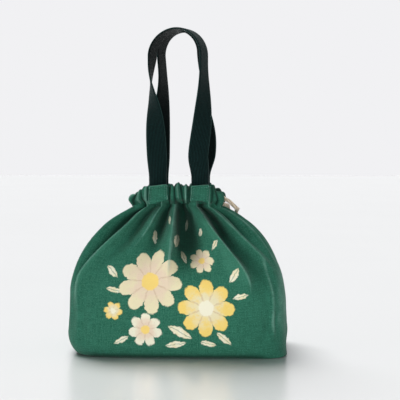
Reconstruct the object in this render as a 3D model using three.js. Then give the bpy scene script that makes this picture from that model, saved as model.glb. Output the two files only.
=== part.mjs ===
// A canvas bento bag with a drawstring neck: outer panels, a lined inside with a board in the bottom,
// a gathered casing round the cord, and two webbing carry handles.
// Millimetres, +Z up. The front faces -Y, and the origin is on the ground under the middle of the bag.
import * as THREE from 'three';

// Body
const BODY_WIDTH = 216;
const BODY_DEPTH = 120;
const BASE_WIDTH = 204;
const BASE_DEPTH = 108;
const TOE_HEIGHT = 14; // the walls swell out of the base over this height
const SHOULDER_HEIGHT = 46; // the walls start to draw in here
const GATHER_HEIGHT = 144; // the panels end under the casing here, at mid front
const SIDE_DROOP = 4; // the gathers hang this much lower at the side seams
const BODY_SQUARENESS = 5; // 2 would be an ellipse, more is boxier
const NECK_SQUARENESS = 4.5;
const SHOULDER_SWELL = 2.3; // how long the shoulder stays full
const SHOULDER_ROUND = 0.8; // how roundly it then turns in to the neck
const PLEATS = 14; // folds that run down from the gathers, all round
const PLEAT_DEPTH = 3.5; // ridge above the middle of a fold
const PLEAT_START = 0.4; // shares of the wall's height: the folds start, are full and close again
const PLEAT_FULL = 0.8;
const PLEAT_CLOSE = 0.85;

// Cloth, board and the clearance between layers
const FABRIC = 1.5;
const LINING = 1;
const BOARD = 2.5;
const BOARD_MARGIN = 2; // from the board's edge to the seam of the base
const GAP = 0.3;

// Gathered casing and its cord
const NECK_WIDTH = 86; // across the middle of the casing
const NECK_DEPTH = 44;
const CASING_HEIGHT = 20;
const CASING_WALL = 1.6;
const CASING_HEM = 4; // sewn flat above and below the channel
const RUFFLES = 22;
const RUFFLE_DEPTH = 2;
const RUFFLE_MARGIN = 1; // left flat beside each tab
const RUFFLE_RUNOUT = 4; // over which a ruffle rises from the flat
const CASING_SQUARENESS = 3;
const CORD_EXIT = 20; // between the ends of the casing at the right seam
const CORD_DIAMETER = 4;
const CORD_CLEARANCE = 0.6;
const CORD_EXIT_GAP = 1.4; // between the casing's end and the visible tail

// Handles and the tabs over their ends
const WEBBING_WIDTH = 20;
const WEBBING_THICKNESS = 1.8;
const LEG_SPACING = 42;
const HANDLE_SHIFT = 2; // the drawn neck leaves the handles a little right of the middle
const HANDLE_TOP = 318;
const FRONT_ARCH_RADIUS = 27;
const REAR_ARCH_RADIUS = 23;
const ARCH_SETBACK = 11; // from the middle of the bag to the middle of each arch
const ARCH_TURN = 22; // degrees that each arch is turned about the vertical
const TWIST_START = 0.25; // shares of a leg's height: it starts and ends its turn, and has its full spread
const TWIST_END = 0.9;
const SPREAD_END = 0.8;
const BEND_RISE = 6; // the webbing bends this far above the casing
const SEWN_LENGTH = 22; // of webbing below the bend
const TAB_WIDTH = 21;
const TAB_HEIGHT = 18;
const TAB_CORNER = 2;

// Drawstring tails, from the ends of the casing over the rear shoulder down to one knot.
// A step of a route is a turn round the bag in degrees, a level of the wall and a rise above its folds.
const FRONT_ROUTE = [
  [0, 1, 3.6], [18, 0.995, 2.4], [31, 0.985, 1.7], [41, 0.97, 1.2], [47, 0.945, 0.9], [52, 0.91, 0.7],
  [55.5, 0.86, 0.7], [58, 0.8, 0.7], [59.5, 0.73, 0.7], [60.5, 0.64, 0.7], [61, 0.55, 0.8],
  [61, 0.46, 1.2], [60.8, 0.385, 2],
];
const REAR_ROUTE = [
  [28, 0.952, 3], [35, 0.945, 1.6], [41.5, 0.93, 1], [46.5, 0.905, 0.7], [50.5, 0.865, 0.7],
  [53.5, 0.815, 0.8], [55.3, 0.757, 1], [56.5, 0.69, 0.8], [57.5, 0.6, 0.7], [58, 0.5, 1.2], [58.5, 0.4, 2],
];
// The rear tail leaves towards the front and turns back: how far that turn goes out, down and forward.
const TURN_OUT = 16.5;
const TURN_DOWN = 12;
const TURN_FORWARD = 10;
const TURN_DEGREES = [40, 75, 110, 145, 180];
const KNOT_TURN = 59.5;
const KNOT_LEVEL = 0.235; // of the knot's top
const KNOT_WIDTH = 3.4 * CORD_DIAMETER;
const KNOT_HEIGHT = 2.8 * CORD_DIAMETER;
const TAIL_DROP = 12; // straight down into the knot
const CORD_ENDS = 14; // below the knot

// Mesh detail
const PLEAT_STEPS = 6; // columns of a panel to each pleat
const WALL_ROWS = 12;
const RUFFLE_STEPS = 4;
const SECTION_SIDES = 8;
const BASE_POINTS = 48;
const STRAP_STEPS = 20;
const END_DROP = 0.45; // a strap's rounded end, in thicknesses: below the bend, and its own thickness
const END_TAPER = 0.35;
const CORD_SIDES = 8;
const RING_POINTS = 40;
const RING_STEPS = 48;
const TAIL_STEPS = 30;
const KNOT_SIDES = 16;

// Worked out from the sizes above
const WALL_BOTTOM = FABRIC + GAP;
const BASE_LINING_BOTTOM = WALL_BOTTOM + BOARD + GAP;
const LINING_BOTTOM = BASE_LINING_BOTTOM + LINING + GAP;
const CASING_THICKNESS = CORD_DIAMETER + 2 * (CORD_CLEARANCE + CASING_WALL);
const CHANNEL_WIDTH = CORD_DIAMETER + 2 * CORD_CLEARANCE;
const CHANNEL_HEIGHT = CASING_HEIGHT - 2 * CASING_HEM;
const CASING_TOP = GATHER_HEIGHT + GAP + CASING_HEIGHT;
const BEND_HEIGHT = CASING_TOP + BEND_RISE;
const SEAM_ANGLE = GAP / NECK_DEPTH;
const EXIT_ANGLE = Math.atan2(CORD_EXIT, NECK_DEPTH);
const PANEL_COLUMNS = (PLEATS / 2) * PLEAT_STEPS;
const LINING_COLUMNS = PLEATS; // one on each ridge and in each valley
const LINING_START = (LINING_BOTTOM - WALL_BOTTOM) / (GATHER_HEIGHT - WALL_BOTTOM);
const LEGS = { left: HANDLE_SHIFT - LEG_SPACING / 2, right: HANDLE_SHIFT + LEG_SPACING / 2 };

const { lerp, smoothstep, degToRad } = THREE.MathUtils;

const canvas = { color: 0x3a725f, roughness: 0.9, metalness: 0 };
const liningCloth = { color: 0xc9c2ad, roughness: 0.9, metalness: 0 };
const board = { color: 0x8a8478, roughness: 0.8, metalness: 0 };
const webbing = { color: 0x1c2828, roughness: 0.85, metalness: 0 };
const cotton = { color: 0xab9f8e, roughness: 0.9, metalness: 0 };

const bag = new THREE.Group();

function addPiece(name, geometry, finish, group = bag) {
  const mesh = new THREE.Mesh(geometry, new THREE.MeshStandardMaterial(finish));
  mesh.name = name;
  group.add(mesh);
  return mesh;
}

// Evenly spread values, both ends included.
function spread(from, to, steps) {
  return Array.from({ length: steps + 1 }, (_, step) => lerp(from, to, step / steps));
}

// A closed solid between two grids of points, both indexed [column][row]; seen from outside, the columns run
// to the right when the rows run up. With looped rows the last row joins the first, as in a hollow sleeve.
function shell(outer, inner, looped = false) {
  const columns = outer.length;
  const rows = outer[0].length;
  const points = [...outer.flat(), ...inner.flat()];
  const out = (column, row) => column * rows + (row % rows);
  const inn = (column, row) => columns * rows + out(column, row);
  const triangles = [];
  const quad = (a, b, c, d) => triangles.push(a, b, c, a, c, d);
  const lastRow = looped ? rows : rows - 1;
  for (let column = 0; column < columns - 1; column += 1) {
    const next = column + 1;
    for (let row = 0; row < lastRow; row += 1) {
      quad(out(column, row), out(next, row), out(next, row + 1), out(column, row + 1));
      quad(inn(column, row), inn(column, row + 1), inn(next, row + 1), inn(next, row));
    }
    if (!looped) {
      quad(inn(column, 0), inn(next, 0), out(next, 0), out(column, 0));
      quad(out(column, lastRow), out(next, lastRow), inn(next, lastRow), inn(column, lastRow));
    }
  }
  const end = columns - 1;
  for (let row = 0; row < lastRow; row += 1) {
    quad(out(0, row), out(0, row + 1), inn(0, row + 1), inn(0, row));
    quad(out(end, row + 1), out(end, row), inn(end, row), inn(end, row + 1));
  }
  const geometry = new THREE.BufferGeometry().setFromPoints(points);
  geometry.setIndex(triangles);
  geometry.computeVertexNormals();
  return geometry;
}

// The bag's outline at one height, from an ellipse towards a rectangle.
function outline(angle, halfWidth, halfDepth, squareness) {
  const across = Math.cos(angle);
  const along = Math.sin(angle);
  const reach = (Math.abs(across) ** squareness + Math.abs(along) ** squareness) ** (-1 / squareness);
  return new THREE.Vector2(halfWidth * across * reach, halfDepth * along * reach);
}

function gatherHeight(angle) {
  return GATHER_HEIGHT - SIDE_DROOP * Math.cos(angle) ** 4;
}

// A point of the wall without its folds. The level runs from 0 at the base to 1 at the gathers.
function smoothWall(angle, level) {
  const height = lerp(WALL_BOTTOM, gatherHeight(angle), level);
  const climb = Math.max(0, (height - SHOULDER_HEIGHT) / (gatherHeight(angle) - SHOULDER_HEIGHT));
  const fullness = Math.max(0, 1 - climb ** SHOULDER_SWELL) ** SHOULDER_ROUND;
  const toe = Math.max(0, 1 - height / TOE_HEIGHT) ** 2;
  const halfWidth = lerp(NECK_WIDTH, BODY_WIDTH, fullness) / 2 - (toe * (BODY_WIDTH - BASE_WIDTH)) / 2;
  const halfDepth = lerp(NECK_DEPTH, BODY_DEPTH, fullness) / 2 - (toe * (BODY_DEPTH - BASE_DEPTH)) / 2;
  const flat = outline(angle, halfWidth, halfDepth, lerp(BODY_SQUARENESS, NECK_SQUARENESS, level));
  return new THREE.Vector3(flat.x, flat.y, height);
}

function wallNormal(angle, level) {
  const step = 0.01;
  const around = smoothWall(angle + step, level).sub(smoothWall(angle - step, level));
  const up = smoothWall(angle, Math.min(1, level + step)).sub(smoothWall(angle, Math.max(0, level - step)));
  return around.cross(up).normalize();
}

// The pleats start above the shoulder, are deepest below the neck and close up where the casing holds them.
function pleatDepth(level) {
  return PLEAT_DEPTH * smoothstep(level, PLEAT_START, PLEAT_FULL) * (1 - smoothstep(level, PLEAT_CLOSE, 1));
}

function wall(angle, level, lift) {
  return smoothWall(angle, level).addScaledVector(wallNormal(angle, level), lift);
}

// The levels of the wall's rows, above where the lining starts.
const LEVELS = spread(LINING_START, 1, WALL_ROWS);

function panelGeometry(from, to) {
  const face = (inset) => spread(from, to, PANEL_COLUMNS).map((angle) => [0, ...LEVELS].map((level) => (
    wall(angle, level, pleatDepth(level) * Math.cos(PLEATS * angle) - inset)
  )));
  return shell(face(0), face(FABRIC));
}

// The lining hangs smooth inside the valleys of the pleats.
function liningGeometry(from, to) {
  const face = (inset) => spread(from, to, LINING_COLUMNS).map((angle) => LEVELS.map((level) => (
    wall(angle, level, -pleatDepth(level) - FABRIC - GAP - inset)
  )));
  return shell(face(0), face(LINING));
}

// A flat piece with the base's outline, drawn in by a margin.
function basePlate(margin, bottom, thickness) {
  const corner = (angle) => {
    const edge = smoothWall(angle, 0);
    const halfWidth = smoothWall(0, 0).x;
    const halfDepth = smoothWall(Math.PI / 2, 0).y;
    return new THREE.Vector2(edge.x * (1 - margin / halfWidth), edge.y * (1 - margin / halfDepth));
  };
  const angles = spread(0, 2 * Math.PI, BASE_POINTS).slice(0, -1);
  const shape = new THREE.Shape(angles.map(corner));
  return new THREE.ExtrudeGeometry(shape, { depth: thickness, bevelEnabled: false }).translate(0, 0, bottom);
}

// The neck's outline at the middle of the casing, and its outward direction.
function neck(angle, lift) {
  const step = 0.01;
  const at = (turn) => outline(turn, NECK_WIDTH / 2, NECK_DEPTH / 2, NECK_SQUARENESS);
  const along = at(angle + step).sub(at(angle - step)).normalize();
  return at(angle).add(new THREE.Vector2(along.y, -along.x).multiplyScalar(lift));
}

// The ruffles leave the casing flat behind the tabs.
function ruffle(angle) {
  const x = neck(angle, 0).x;
  const flat = TAB_WIDTH / 2 + RUFFLE_MARGIN;
  const clear = Object.values(LEGS).map((leg) => smoothstep(Math.abs(x - leg), flat, flat + RUFFLE_RUNOUT));
  return RUFFLE_DEPTH * Math.min(...clear) * (0.5 + 0.5 * Math.cos(RUFFLES * angle));
}

function casingGeometry(from, to) {
  const turns = spread(0, 2 * Math.PI, SECTION_SIDES).slice(0, -1);
  const section = (angle, width, height, puff) => turns.map((turn) => {
    const flat = outline(turn, width / 2, height / 2, CASING_SQUARENESS);
    const place = neck(angle, flat.x > 0 ? flat.x * (1 + (2 * puff) / width) : flat.x);
    return new THREE.Vector3(place.x, place.y, gatherHeight(angle) + GAP + CASING_HEIGHT / 2 + flat.y);
  });
  const angles = spread(from, to, (RUFFLES / 2) * RUFFLE_STEPS);
  const outer = angles.map((angle) => section(angle, CASING_THICKNESS, CASING_HEIGHT, ruffle(angle)));
  const inner = angles.map((angle) => section(angle, CHANNEL_WIDTH, CHANNEL_HEIGHT, 0));
  return shell(outer, inner, true);
}

function tube(curve, steps) {
  const shape = new THREE.Shape().absarc(0, 0, CORD_DIAMETER / 2, 0, 2 * Math.PI);
  return new THREE.ExtrudeGeometry(shape, { steps, extrudePath: curve, curveSegments: CORD_SIDES / 2 });
}

// Points of the rear tail's turn, from the one where it leaves the casing.
function turnBack(start) {
  return TURN_DEGREES.map((degrees) => {
    const share = Math.sin(degToRad(degrees) / 2);
    const forward = TURN_FORWARD * Math.sin(degToRad(degrees));
    return new THREE.Vector3(
      start.x + TURN_OUT * share ** 1.5, start.y - forward, start.z - TURN_DOWN * share ** 3,
    );
  });
}

// One tail: out of the casing's end, along its route over the wall and straight down into the knot.
function tailPoints(exitAngle, route, side) {
  const opening = exitAngle - Math.sign(exitAngle) * (CORD_EXIT_GAP / NECK_DEPTH);
  const exit = neck(opening, 0);
  const start = new THREE.Vector3(exit.x, exit.y, gatherHeight(opening) + GAP + CASING_HEIGHT / 2);
  const draped = route.map(([turn, level, rise]) => (
    wall(degToRad(turn), level, pleatDepth(level) + CORD_DIAMETER / 2 + rise)
  ));
  const place = knotTop.clone().setX(knotTop.x + (side * (CORD_DIAMETER + 2 * GAP)) / 2);
  const drop = [TAIL_DROP, TAIL_DROP / 2, 0].map((height) => place.clone().setZ(knotTop.z + height));
  return [start, ...(side > 0 ? turnBack(start) : []), ...draped, ...drop];
}

// A tied knot: a barrel drawn in round its middle, with flat ends where the cords meet it.
function knotGeometry() {
  const half = KNOT_WIDTH / 2;
  const profile = [[0, 0], [0.72, 0], [0.98, 0.2], [1, 0.34], [0.9, 0.5], [1, 0.66], [0.98, 0.8], [0.72, 1], [0, 1]];
  const points = profile.map(([radius, height]) => new THREE.Vector2(radius * half, height * KNOT_HEIGHT));
  return new THREE.LatheGeometry(points, KNOT_SIDES).rotateX(Math.PI / 2);
}

// The distance of the casing's face from the middle of the bag, at a place across the neck.
function casingFace(x, lift) {
  let [low, high] = [0, Math.PI / 2];
  for (let halving = 0; halving < 40; halving += 1) {
    const middle = (low + high) / 2;
    [low, high] = neck(middle, lift).x > x ? [middle, high] : [low, middle];
  }
  return neck(low, lift).y;
}

// A strap swept along its stations, each with a place, a direction across and a thickness.
function strapGeometry(stations) {
  const ends = (index) => [stations[Math.max(0, index - 1)], stations[Math.min(stations.length - 1, index + 1)]];
  const face = (side) => [-1, 0, 1].map((edge) => stations.map(({ place, across, thickness }, index) => {
    const [before, after] = ends(index);
    const along = after.place.clone().sub(before.place).normalize();
    const square = across.clone().addScaledVector(along, -across.dot(along)).normalize();
    const outward = square.clone().cross(along);
    return place.clone()
      .addScaledVector(square, (edge * WEBBING_WIDTH) / 2)
      .addScaledVector(outward, (side * thickness) / 2);
  }));
  return shell(face(1), face(-1));
}

// A handle's loop: flat legs that turn edge on as they climb, and an arch over the top.
function loopGeometry(archRadius, shift, bendY) {
  const turn = degToRad(ARCH_TURN);
  const spring = HANDLE_TOP - archRadius;
  const station = (x, y, z, heading, thickness = WEBBING_THICKNESS) => ({
    place: new THREE.Vector3(x, y, z),
    across: new THREE.Vector3(Math.cos(heading), Math.sin(heading), 0),
    thickness,
  });
  const archHeading = -Math.PI / 2 - turn;
  const leg = (side) => spread(0, 1, STRAP_STEPS).map((climb) => {
    const twist = smoothstep(climb, TWIST_START, TWIST_END);
    const spreadOut = smoothstep(climb, 0, SPREAD_END);
    const x = shift + side * lerp(LEG_SPACING / 2, archRadius * Math.cos(turn), spreadOut);
    const y = lerp(bendY, -ARCH_SETBACK - side * archRadius * Math.sin(turn), twist);
    const heading = lerp(side < 0 ? 0 : -Math.PI, archHeading, twist);
    return station(x, y, lerp(BEND_HEIGHT, spring, climb), heading);
  });
  const arch = spread(Math.PI, 0, STRAP_STEPS).slice(1, -1).map((angle) => {
    const reach = archRadius * Math.cos(angle);
    const x = shift + reach * Math.cos(turn);
    const y = -ARCH_SETBACK - reach * Math.sin(turn);
    return station(x, y, spring + archRadius * Math.sin(angle), archHeading);
  });
  // The lower ends are rounded about the line on which the webbing bends.
  const roundEnd = (side) => station(
    shift + (side * LEG_SPACING) / 2,
    bendY,
    BEND_HEIGHT - END_DROP * WEBBING_THICKNESS,
    side < 0 ? 0 : -Math.PI,
    END_TAPER * WEBBING_THICKNESS,
  );
  return strapGeometry([roundEnd(-1), ...leg(-1), ...arch, ...leg(1).reverse(), roundEnd(1)]);
}

function tabGeometry() {
  const shape = new THREE.Shape();
  const halfWidth = TAB_WIDTH / 2;
  const halfHeight = TAB_HEIGHT / 2;
  shape.absarc(halfWidth - TAB_CORNER, halfHeight - TAB_CORNER, TAB_CORNER, 0, Math.PI / 2);
  shape.absarc(TAB_CORNER - halfWidth, halfHeight - TAB_CORNER, TAB_CORNER, Math.PI / 2, Math.PI);
  shape.absarc(TAB_CORNER - halfWidth, TAB_CORNER - halfHeight, TAB_CORNER, Math.PI, 1.5 * Math.PI);
  shape.absarc(halfWidth - TAB_CORNER, TAB_CORNER - halfHeight, TAB_CORNER, 1.5 * Math.PI, 2 * Math.PI);
  return new THREE.ExtrudeGeometry(shape, { depth: FABRIC, bevelEnabled: false, curveSegments: 3 })
    .rotateX(Math.PI / 2);
}

// One side's handle with its sewn ends and the tabs over them, facing -Y in its own group.
function addHandle(side, archRadius, facing) {
  const group = new THREE.Group();
  group.rotation.z = facing;
  bag.add(group);
  const shift = HANDLE_SHIFT * Math.cos(facing);
  const reach = Math.abs(HANDLE_SHIFT) + LEG_SPACING / 2 + WEBBING_WIDTH / 2;
  const bendY = GAP + WEBBING_THICKNESS / 2 - casingFace(reach, -CASING_THICKNESS / 2);
  const sewnTop = BEND_HEIGHT - WEBBING_THICKNESS / 2 - 2 * GAP; // the folded handle passes close over it
  for (const [leg, x] of Object.entries(LEGS)) {
    const place = x * Math.cos(facing);
    const webbingEnd = new THREE.BoxGeometry(WEBBING_WIDTH, WEBBING_THICKNESS, SEWN_LENGTH);
    addPiece(`${side}_${leg}_webbing_end`, webbingEnd, webbing, group)
      .position.set(place, bendY, sewnTop - SEWN_LENGTH / 2);
    const tabNear = Math.max(0, Math.abs(place) - TAB_WIDTH / 2);
    addPiece(`${side}_${leg}_tab`, tabGeometry(), canvas, group)
      .position.set(place, -casingFace(tabNear, CASING_THICKNESS / 2) - GAP, CASING_TOP - CASING_HEIGHT / 2);
  }
  addPiece(`${side}_handle`, loopGeometry(archRadius, shift, bendY), webbing, group);
}

addPiece('base_panel', basePlate(0, 0, FABRIC), canvas);
addPiece('base_board', basePlate(FABRIC + BOARD_MARGIN, WALL_BOTTOM, BOARD), board);
addPiece('base_lining', basePlate(FABRIC + BOARD_MARGIN, BASE_LINING_BOTTOM, LINING), liningCloth);
const halves = [
  ['front', Math.PI, 2 * Math.PI],
  ['rear', 0, Math.PI],
];
for (const [side, from, to] of halves) {
  addPiece(`${side}_panel`, panelGeometry(from + SEAM_ANGLE, to - SEAM_ANGLE), canvas);
  addPiece(`${side}_lining`, liningGeometry(from + SEAM_ANGLE, to - SEAM_ANGLE), liningCloth);
}
addPiece('front_casing', casingGeometry(Math.PI + SEAM_ANGLE, 2 * Math.PI - EXIT_ANGLE), canvas);
addPiece('rear_casing', casingGeometry(EXIT_ANGLE, Math.PI - SEAM_ANGLE), canvas);
addHandle('front', FRONT_ARCH_RADIUS, 0);
addHandle('rear', REAR_ARCH_RADIUS, Math.PI);

// The cord runs round inside the casing, and its two tails end in one knot.
const ringPoints = spread(EXIT_ANGLE, 2 * Math.PI - EXIT_ANGLE, RING_POINTS).map((angle) => {
  const flat = neck(angle, 0);
  return new THREE.Vector3(flat.x, flat.y, gatherHeight(angle) + GAP + CASING_HEIGHT / 2);
});
addPiece('drawstring_loop', tube(new THREE.CatmullRomCurve3(ringPoints), RING_STEPS), cotton);
const knotTop = wall(degToRad(KNOT_TURN), KNOT_LEVEL, KNOT_WIDTH / 2 + GAP);
const frontTail = tailPoints(-EXIT_ANGLE, FRONT_ROUTE, -1);
const rearTail = tailPoints(EXIT_ANGLE, REAR_ROUTE, 1);
addPiece('front_tail', tube(new THREE.CatmullRomCurve3(frontTail), TAIL_STEPS), cotton);
addPiece('rear_tail', tube(new THREE.CatmullRomCurve3(rearTail), TAIL_STEPS), cotton);
const knotBottom = knotTop.z - GAP - KNOT_HEIGHT;
const knot = addPiece('drawstring_knot', knotGeometry(), cotton);
knot.position.set(knotTop.x, knotTop.y, knotBottom);
for (const [name, tail] of [['front_cord_end', frontTail], ['rear_cord_end', rearTail]]) {
  const top = new THREE.Vector3(tail.at(-1).x, tail.at(-1).y, knotBottom - GAP);
  const bottom = top.clone().setZ(top.z - CORD_ENDS);
  addPiece(name, tube(new THREE.LineCurve3(top, bottom), 1), cotton);
}

export default bag;
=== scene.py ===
import math
from collections import namedtuple
import bmesh
import bpy
import numpy as np
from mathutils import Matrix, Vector


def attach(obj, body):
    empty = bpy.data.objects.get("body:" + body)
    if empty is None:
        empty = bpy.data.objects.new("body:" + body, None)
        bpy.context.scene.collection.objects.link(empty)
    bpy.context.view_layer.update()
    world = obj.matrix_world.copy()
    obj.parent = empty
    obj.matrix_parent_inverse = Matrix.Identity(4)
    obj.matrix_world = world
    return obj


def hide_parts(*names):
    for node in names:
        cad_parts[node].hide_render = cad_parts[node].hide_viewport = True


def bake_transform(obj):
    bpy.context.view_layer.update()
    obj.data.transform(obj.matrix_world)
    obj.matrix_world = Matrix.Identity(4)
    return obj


# A canvas bento bag with a drawstring neck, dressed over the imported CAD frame.
# Sizes are in millimetres as in the CAD source, and become metres when a mesh is made.
# A named pair of numbers for smoothstep is where a change starts and where it is complete.
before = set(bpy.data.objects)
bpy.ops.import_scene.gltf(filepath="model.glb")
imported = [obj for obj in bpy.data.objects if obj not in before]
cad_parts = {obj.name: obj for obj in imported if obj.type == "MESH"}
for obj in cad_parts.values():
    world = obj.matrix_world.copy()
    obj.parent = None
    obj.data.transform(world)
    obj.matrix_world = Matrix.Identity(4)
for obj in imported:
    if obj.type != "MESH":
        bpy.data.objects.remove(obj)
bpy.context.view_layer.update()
MM = 0.001
scene = bpy.context.scene
scene.view_settings.view_transform = "Standard"

# Camera, at the photograph's distance and height
IMAGE = 400
FOCAL_PIXELS = 1050
CAMERA_DISTANCE = 1.05
CAMERA_HEIGHT = 0.204
CAMERA_TURN = math.radians(4)
HORIZON_ABOVE_MIDDLE = 55
BAG_LEFT_OF_MIDDLE = 22.2
camera = bpy.data.objects.new("camera", bpy.data.cameras.new("camera"))
scene.collection.objects.link(camera)
camera.data.lens = FOCAL_PIXELS / IMAGE * camera.data.sensor_width
camera.location = (
    CAMERA_DISTANCE * math.sin(CAMERA_TURN),
    -CAMERA_DISTANCE * math.cos(CAMERA_TURN),
    CAMERA_HEIGHT,
)
camera.rotation_euler = (
    math.pi / 2 - math.atan(HORIZON_ABOVE_MIDDLE / FOCAL_PIXELS),
    0,
    CAMERA_TURN - math.atan(BAG_LEFT_OF_MIDDLE / FOCAL_PIXELS),
)
scene.camera = camera

# Sizes shared with the CAD source
BODY_WIDTH, BODY_DEPTH = 216, 120
BASE_INSET = 6
TOE_HEIGHT = 14
SHOULDER_HEIGHT = 46
GATHER_HEIGHT = 144
SIDE_DROOP = 4
BODY_SQUARENESS, NECK_SQUARENESS = 5, 4.5
SHOULDER_SWELL, SHOULDER_ROUND = 2.3, 0.8
PLEAT_DEPTH, PLEAT_START, PLEAT_FULL, PLEAT_CLOSE = 3.5, 0.4, 0.8, 0.85
WALL_BOTTOM = 1.8
GAP = 0.3
NECK_WIDTH, NECK_DEPTH = 86, 44
CASING_HEIGHT, CASING_THICKNESS = 20, 8.4
CORD_DIAMETER = 4
CORD_EXIT, CORD_EXIT_GAP = 20, 1.4
EXIT_ANGLE = math.atan2(CORD_EXIT, NECK_DEPTH)
WEBBING_WIDTH, WEBBING_THICKNESS = 20, 1.8
LEG_SPACING, HANDLE_SHIFT = 42, 2
HANDLE_TOP = 318
ARCH_RADII = {"front": 27, "rear": 23}
ARCH_SETBACK = 11
ARCH_TURN = math.radians(22)
SPREAD_END = 0.8
CASING_TOP = GATHER_HEIGHT + GAP + CASING_HEIGHT
CASING_MIDDLE = GAP + CASING_HEIGHT / 2
BEND_RISE = 6
BEND_HEIGHT = CASING_TOP + BEND_RISE
SEWN_LENGTH = 22
LEGS = (HANDLE_SHIFT - LEG_SPACING / 2, HANDLE_SHIFT + LEG_SPACING / 2)
# Points that the tails lie over: the turn in degrees, the level on the wall and the rise above it
FRONT_ROUTE = [
    (0, 1, 3.6), (18, 0.995, 2.4), (31, 0.985, 1.7), (41, 0.97, 1.2), (47, 0.945, 0.9), (52, 0.91, 0.7),
    (55.5, 0.86, 0.7), (58, 0.8, 0.7), (59.5, 0.73, 0.7), (60.5, 0.64, 0.7), (61, 0.55, 0.8),
    (61, 0.46, 1.2), (60.8, 0.385, 2),
]
REAR_ROUTE = [
    (28, 0.952, 3), (35, 0.945, 1.6), (41.5, 0.93, 1), (46.5, 0.905, 0.7), (50.5, 0.865, 0.7),
    (53.5, 0.815, 0.8), (55.3, 0.757, 1), (56.5, 0.69, 0.8), (57.5, 0.6, 0.7), (58, 0.5, 1.2),
    (58.5, 0.4, 2),
]
# The rear tail leaves towards the front and turns back: how far that turn goes out, down and forward
TURN_OUT, TURN_DOWN, TURN_FORWARD = 16.5, 12, 10
TURN_DEGREES = (40, 75, 110, 145, 180)
KNOT_TURN, KNOT_LEVEL = math.radians(59.5), 0.235
KNOT_WIDTH, KNOT_HEIGHT = 3.4 * CORD_DIAMETER, 2.8 * CORD_DIAMETER
TAIL_DROP = 12
CORD_ENDS = 14

# The tabs, moved a little to the right of the handles' legs
TAB_SHIFTS = (1.6, 0.7)
TAB_PLACES = (LEGS[0] + TAB_SHIFTS[0], LEGS[1] + TAB_SHIFTS[1])

# The two sides, as the angles where each starts and ends, and the turn of its middle in degrees
SIDES = {"front": (math.pi, 2 * math.pi), "rear": (0, math.pi)}
MIDDLES = {"front": 270, "rear": 90}

# Folds that run down from the gathers, from the left seam to the right one. Each has its turn at the neck
# and low down, its height, the height above the ground where it dies away, how sharply it falls to the
# left and to the right, and the depth, place and end of the valley to its right.
Fold = namedtuple("Fold", "neck_turn low_turn rise end left_fall right_fall depth valley_at valley_end")
FOLDS = {
    "front": [
        (-90, -90, 0.5, 105, 0, 0, 2.5, 0.5, 100),
        (-70, -68, 3, 98, 0.3, 0.3, 3.4, 0.5, 94),
        (-53, -61, 3.8, 82, 0.4, 0.4, 10, 0.64, 60),
        (-33.5, -46, 6.2, 46, 0.9, 0.2, 6.5, 0.45, 88),
        (-18, -31, 5, 100, 0.2, 0.6, 10.5, 0.45, 88),
        (-1, -3, 6, 74, 0.1, 1, 16, 0.24, 76),
        (25, 35.5, 6, 54, 0.1, 1, 12, 0.36, 64),
        (37.5, 51, 5, 92, 0.4, 0.6, 6.5, 0.5, 88),
        (53, 59, 3.6, 94, 0.4, 0.4, 3.8, 0.5, 92),
        (71, 67, 2.8, 98, 0.3, 0.3, 2.5, 0.5, 100),
        (90, 90, 0.5, 105, 0, 0, 0, 0.5, 100),
    ],
    "rear": [
        (-90, -90, 0.5, 105, 0, 0, 2.5, 0.5, 100),
        (-69, -65, 2.8, 98, 0.3, 0.3, 3.6, 0.5, 94),
        (-50, -50, 4, 88, 0.4, 0.6, 5.5, 0.45, 82),
        (-33, -40, 4.4, 72, 0.2, 0.8, 7, 0.5, 80),
        (-13, -20, 5, 84, 0.5, 0.3, 8, 0.55, 82),
        (8, 5, 5.2, 80, 0.7, 0.2, 9, 0.5, 80),
        (29, 38, 5, 54, 0.9, 0.3, 6.5, 0.45, 76),
        (51, 54, 3.8, 92, 0.4, 0.4, 3.8, 0.5, 94),
        (70, 66, 2.8, 98, 0.3, 0.3, 2.5, 0.5, 100),
        (90, 90, 0.5, 105, 0, 0, 0, 0.5, 100),
    ],
}
# Small ruffles along the neck, in millimetres from the middle of each side
RIDGES = {
    "front": [-64, -56, -45, -36, -31.2, -8.2, -4.4, 2.4, 9.6, 13, 34.6, 43.5, 52, 60],
    "rear": [
        -63, -57.4, -52, -46.4, -40.8, -35, -12, -7.2, -2, 3.2, 8, 31, 36.4, 42, 47.2, 52.4, 57.6, 63,
    ],
}


def smoothstep(value, start, end):
    """0 up to the start, 1 from the end on and a smooth change between them."""
    share = np.clip((np.asarray(value, float) - start) / (end - start), 0, 1)
    return share * share * (3 - 2 * share)


def between(value, rise, fall):
    """1 after a rise and before a fall, each a pair for smoothstep."""
    return smoothstep(value, *rise) * (1 - smoothstep(value, *fall))


def lerp(start, end, share):
    return start + (end - start) * share


def hump(value, middle, width):
    """A bell curve that is 1 at its middle."""
    return np.exp(-(((value - middle) / width) ** 2))


def waves(place, terms):
    """A sum of sine waves, each with a size, a rate and a phase."""
    return sum(size * np.sin(rate * place + phase) for size, rate, phase in terms)


def unit(vectors):
    return vectors / np.maximum(np.linalg.norm(vectors, axis=-1, keepdims=True), 1e-9)


def run_of(path):
    """How far along a path each of its points lies."""
    return np.concatenate([[0], np.cumsum(np.linalg.norm(np.diff(path, axis=0), axis=1))])


def points_at(path, places):
    """The points at some lengths along a path."""
    run = run_of(path)
    return np.stack([np.interp(places, run, path[:, axis]) for axis in range(3)], -1)


# Mesh builders

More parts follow.
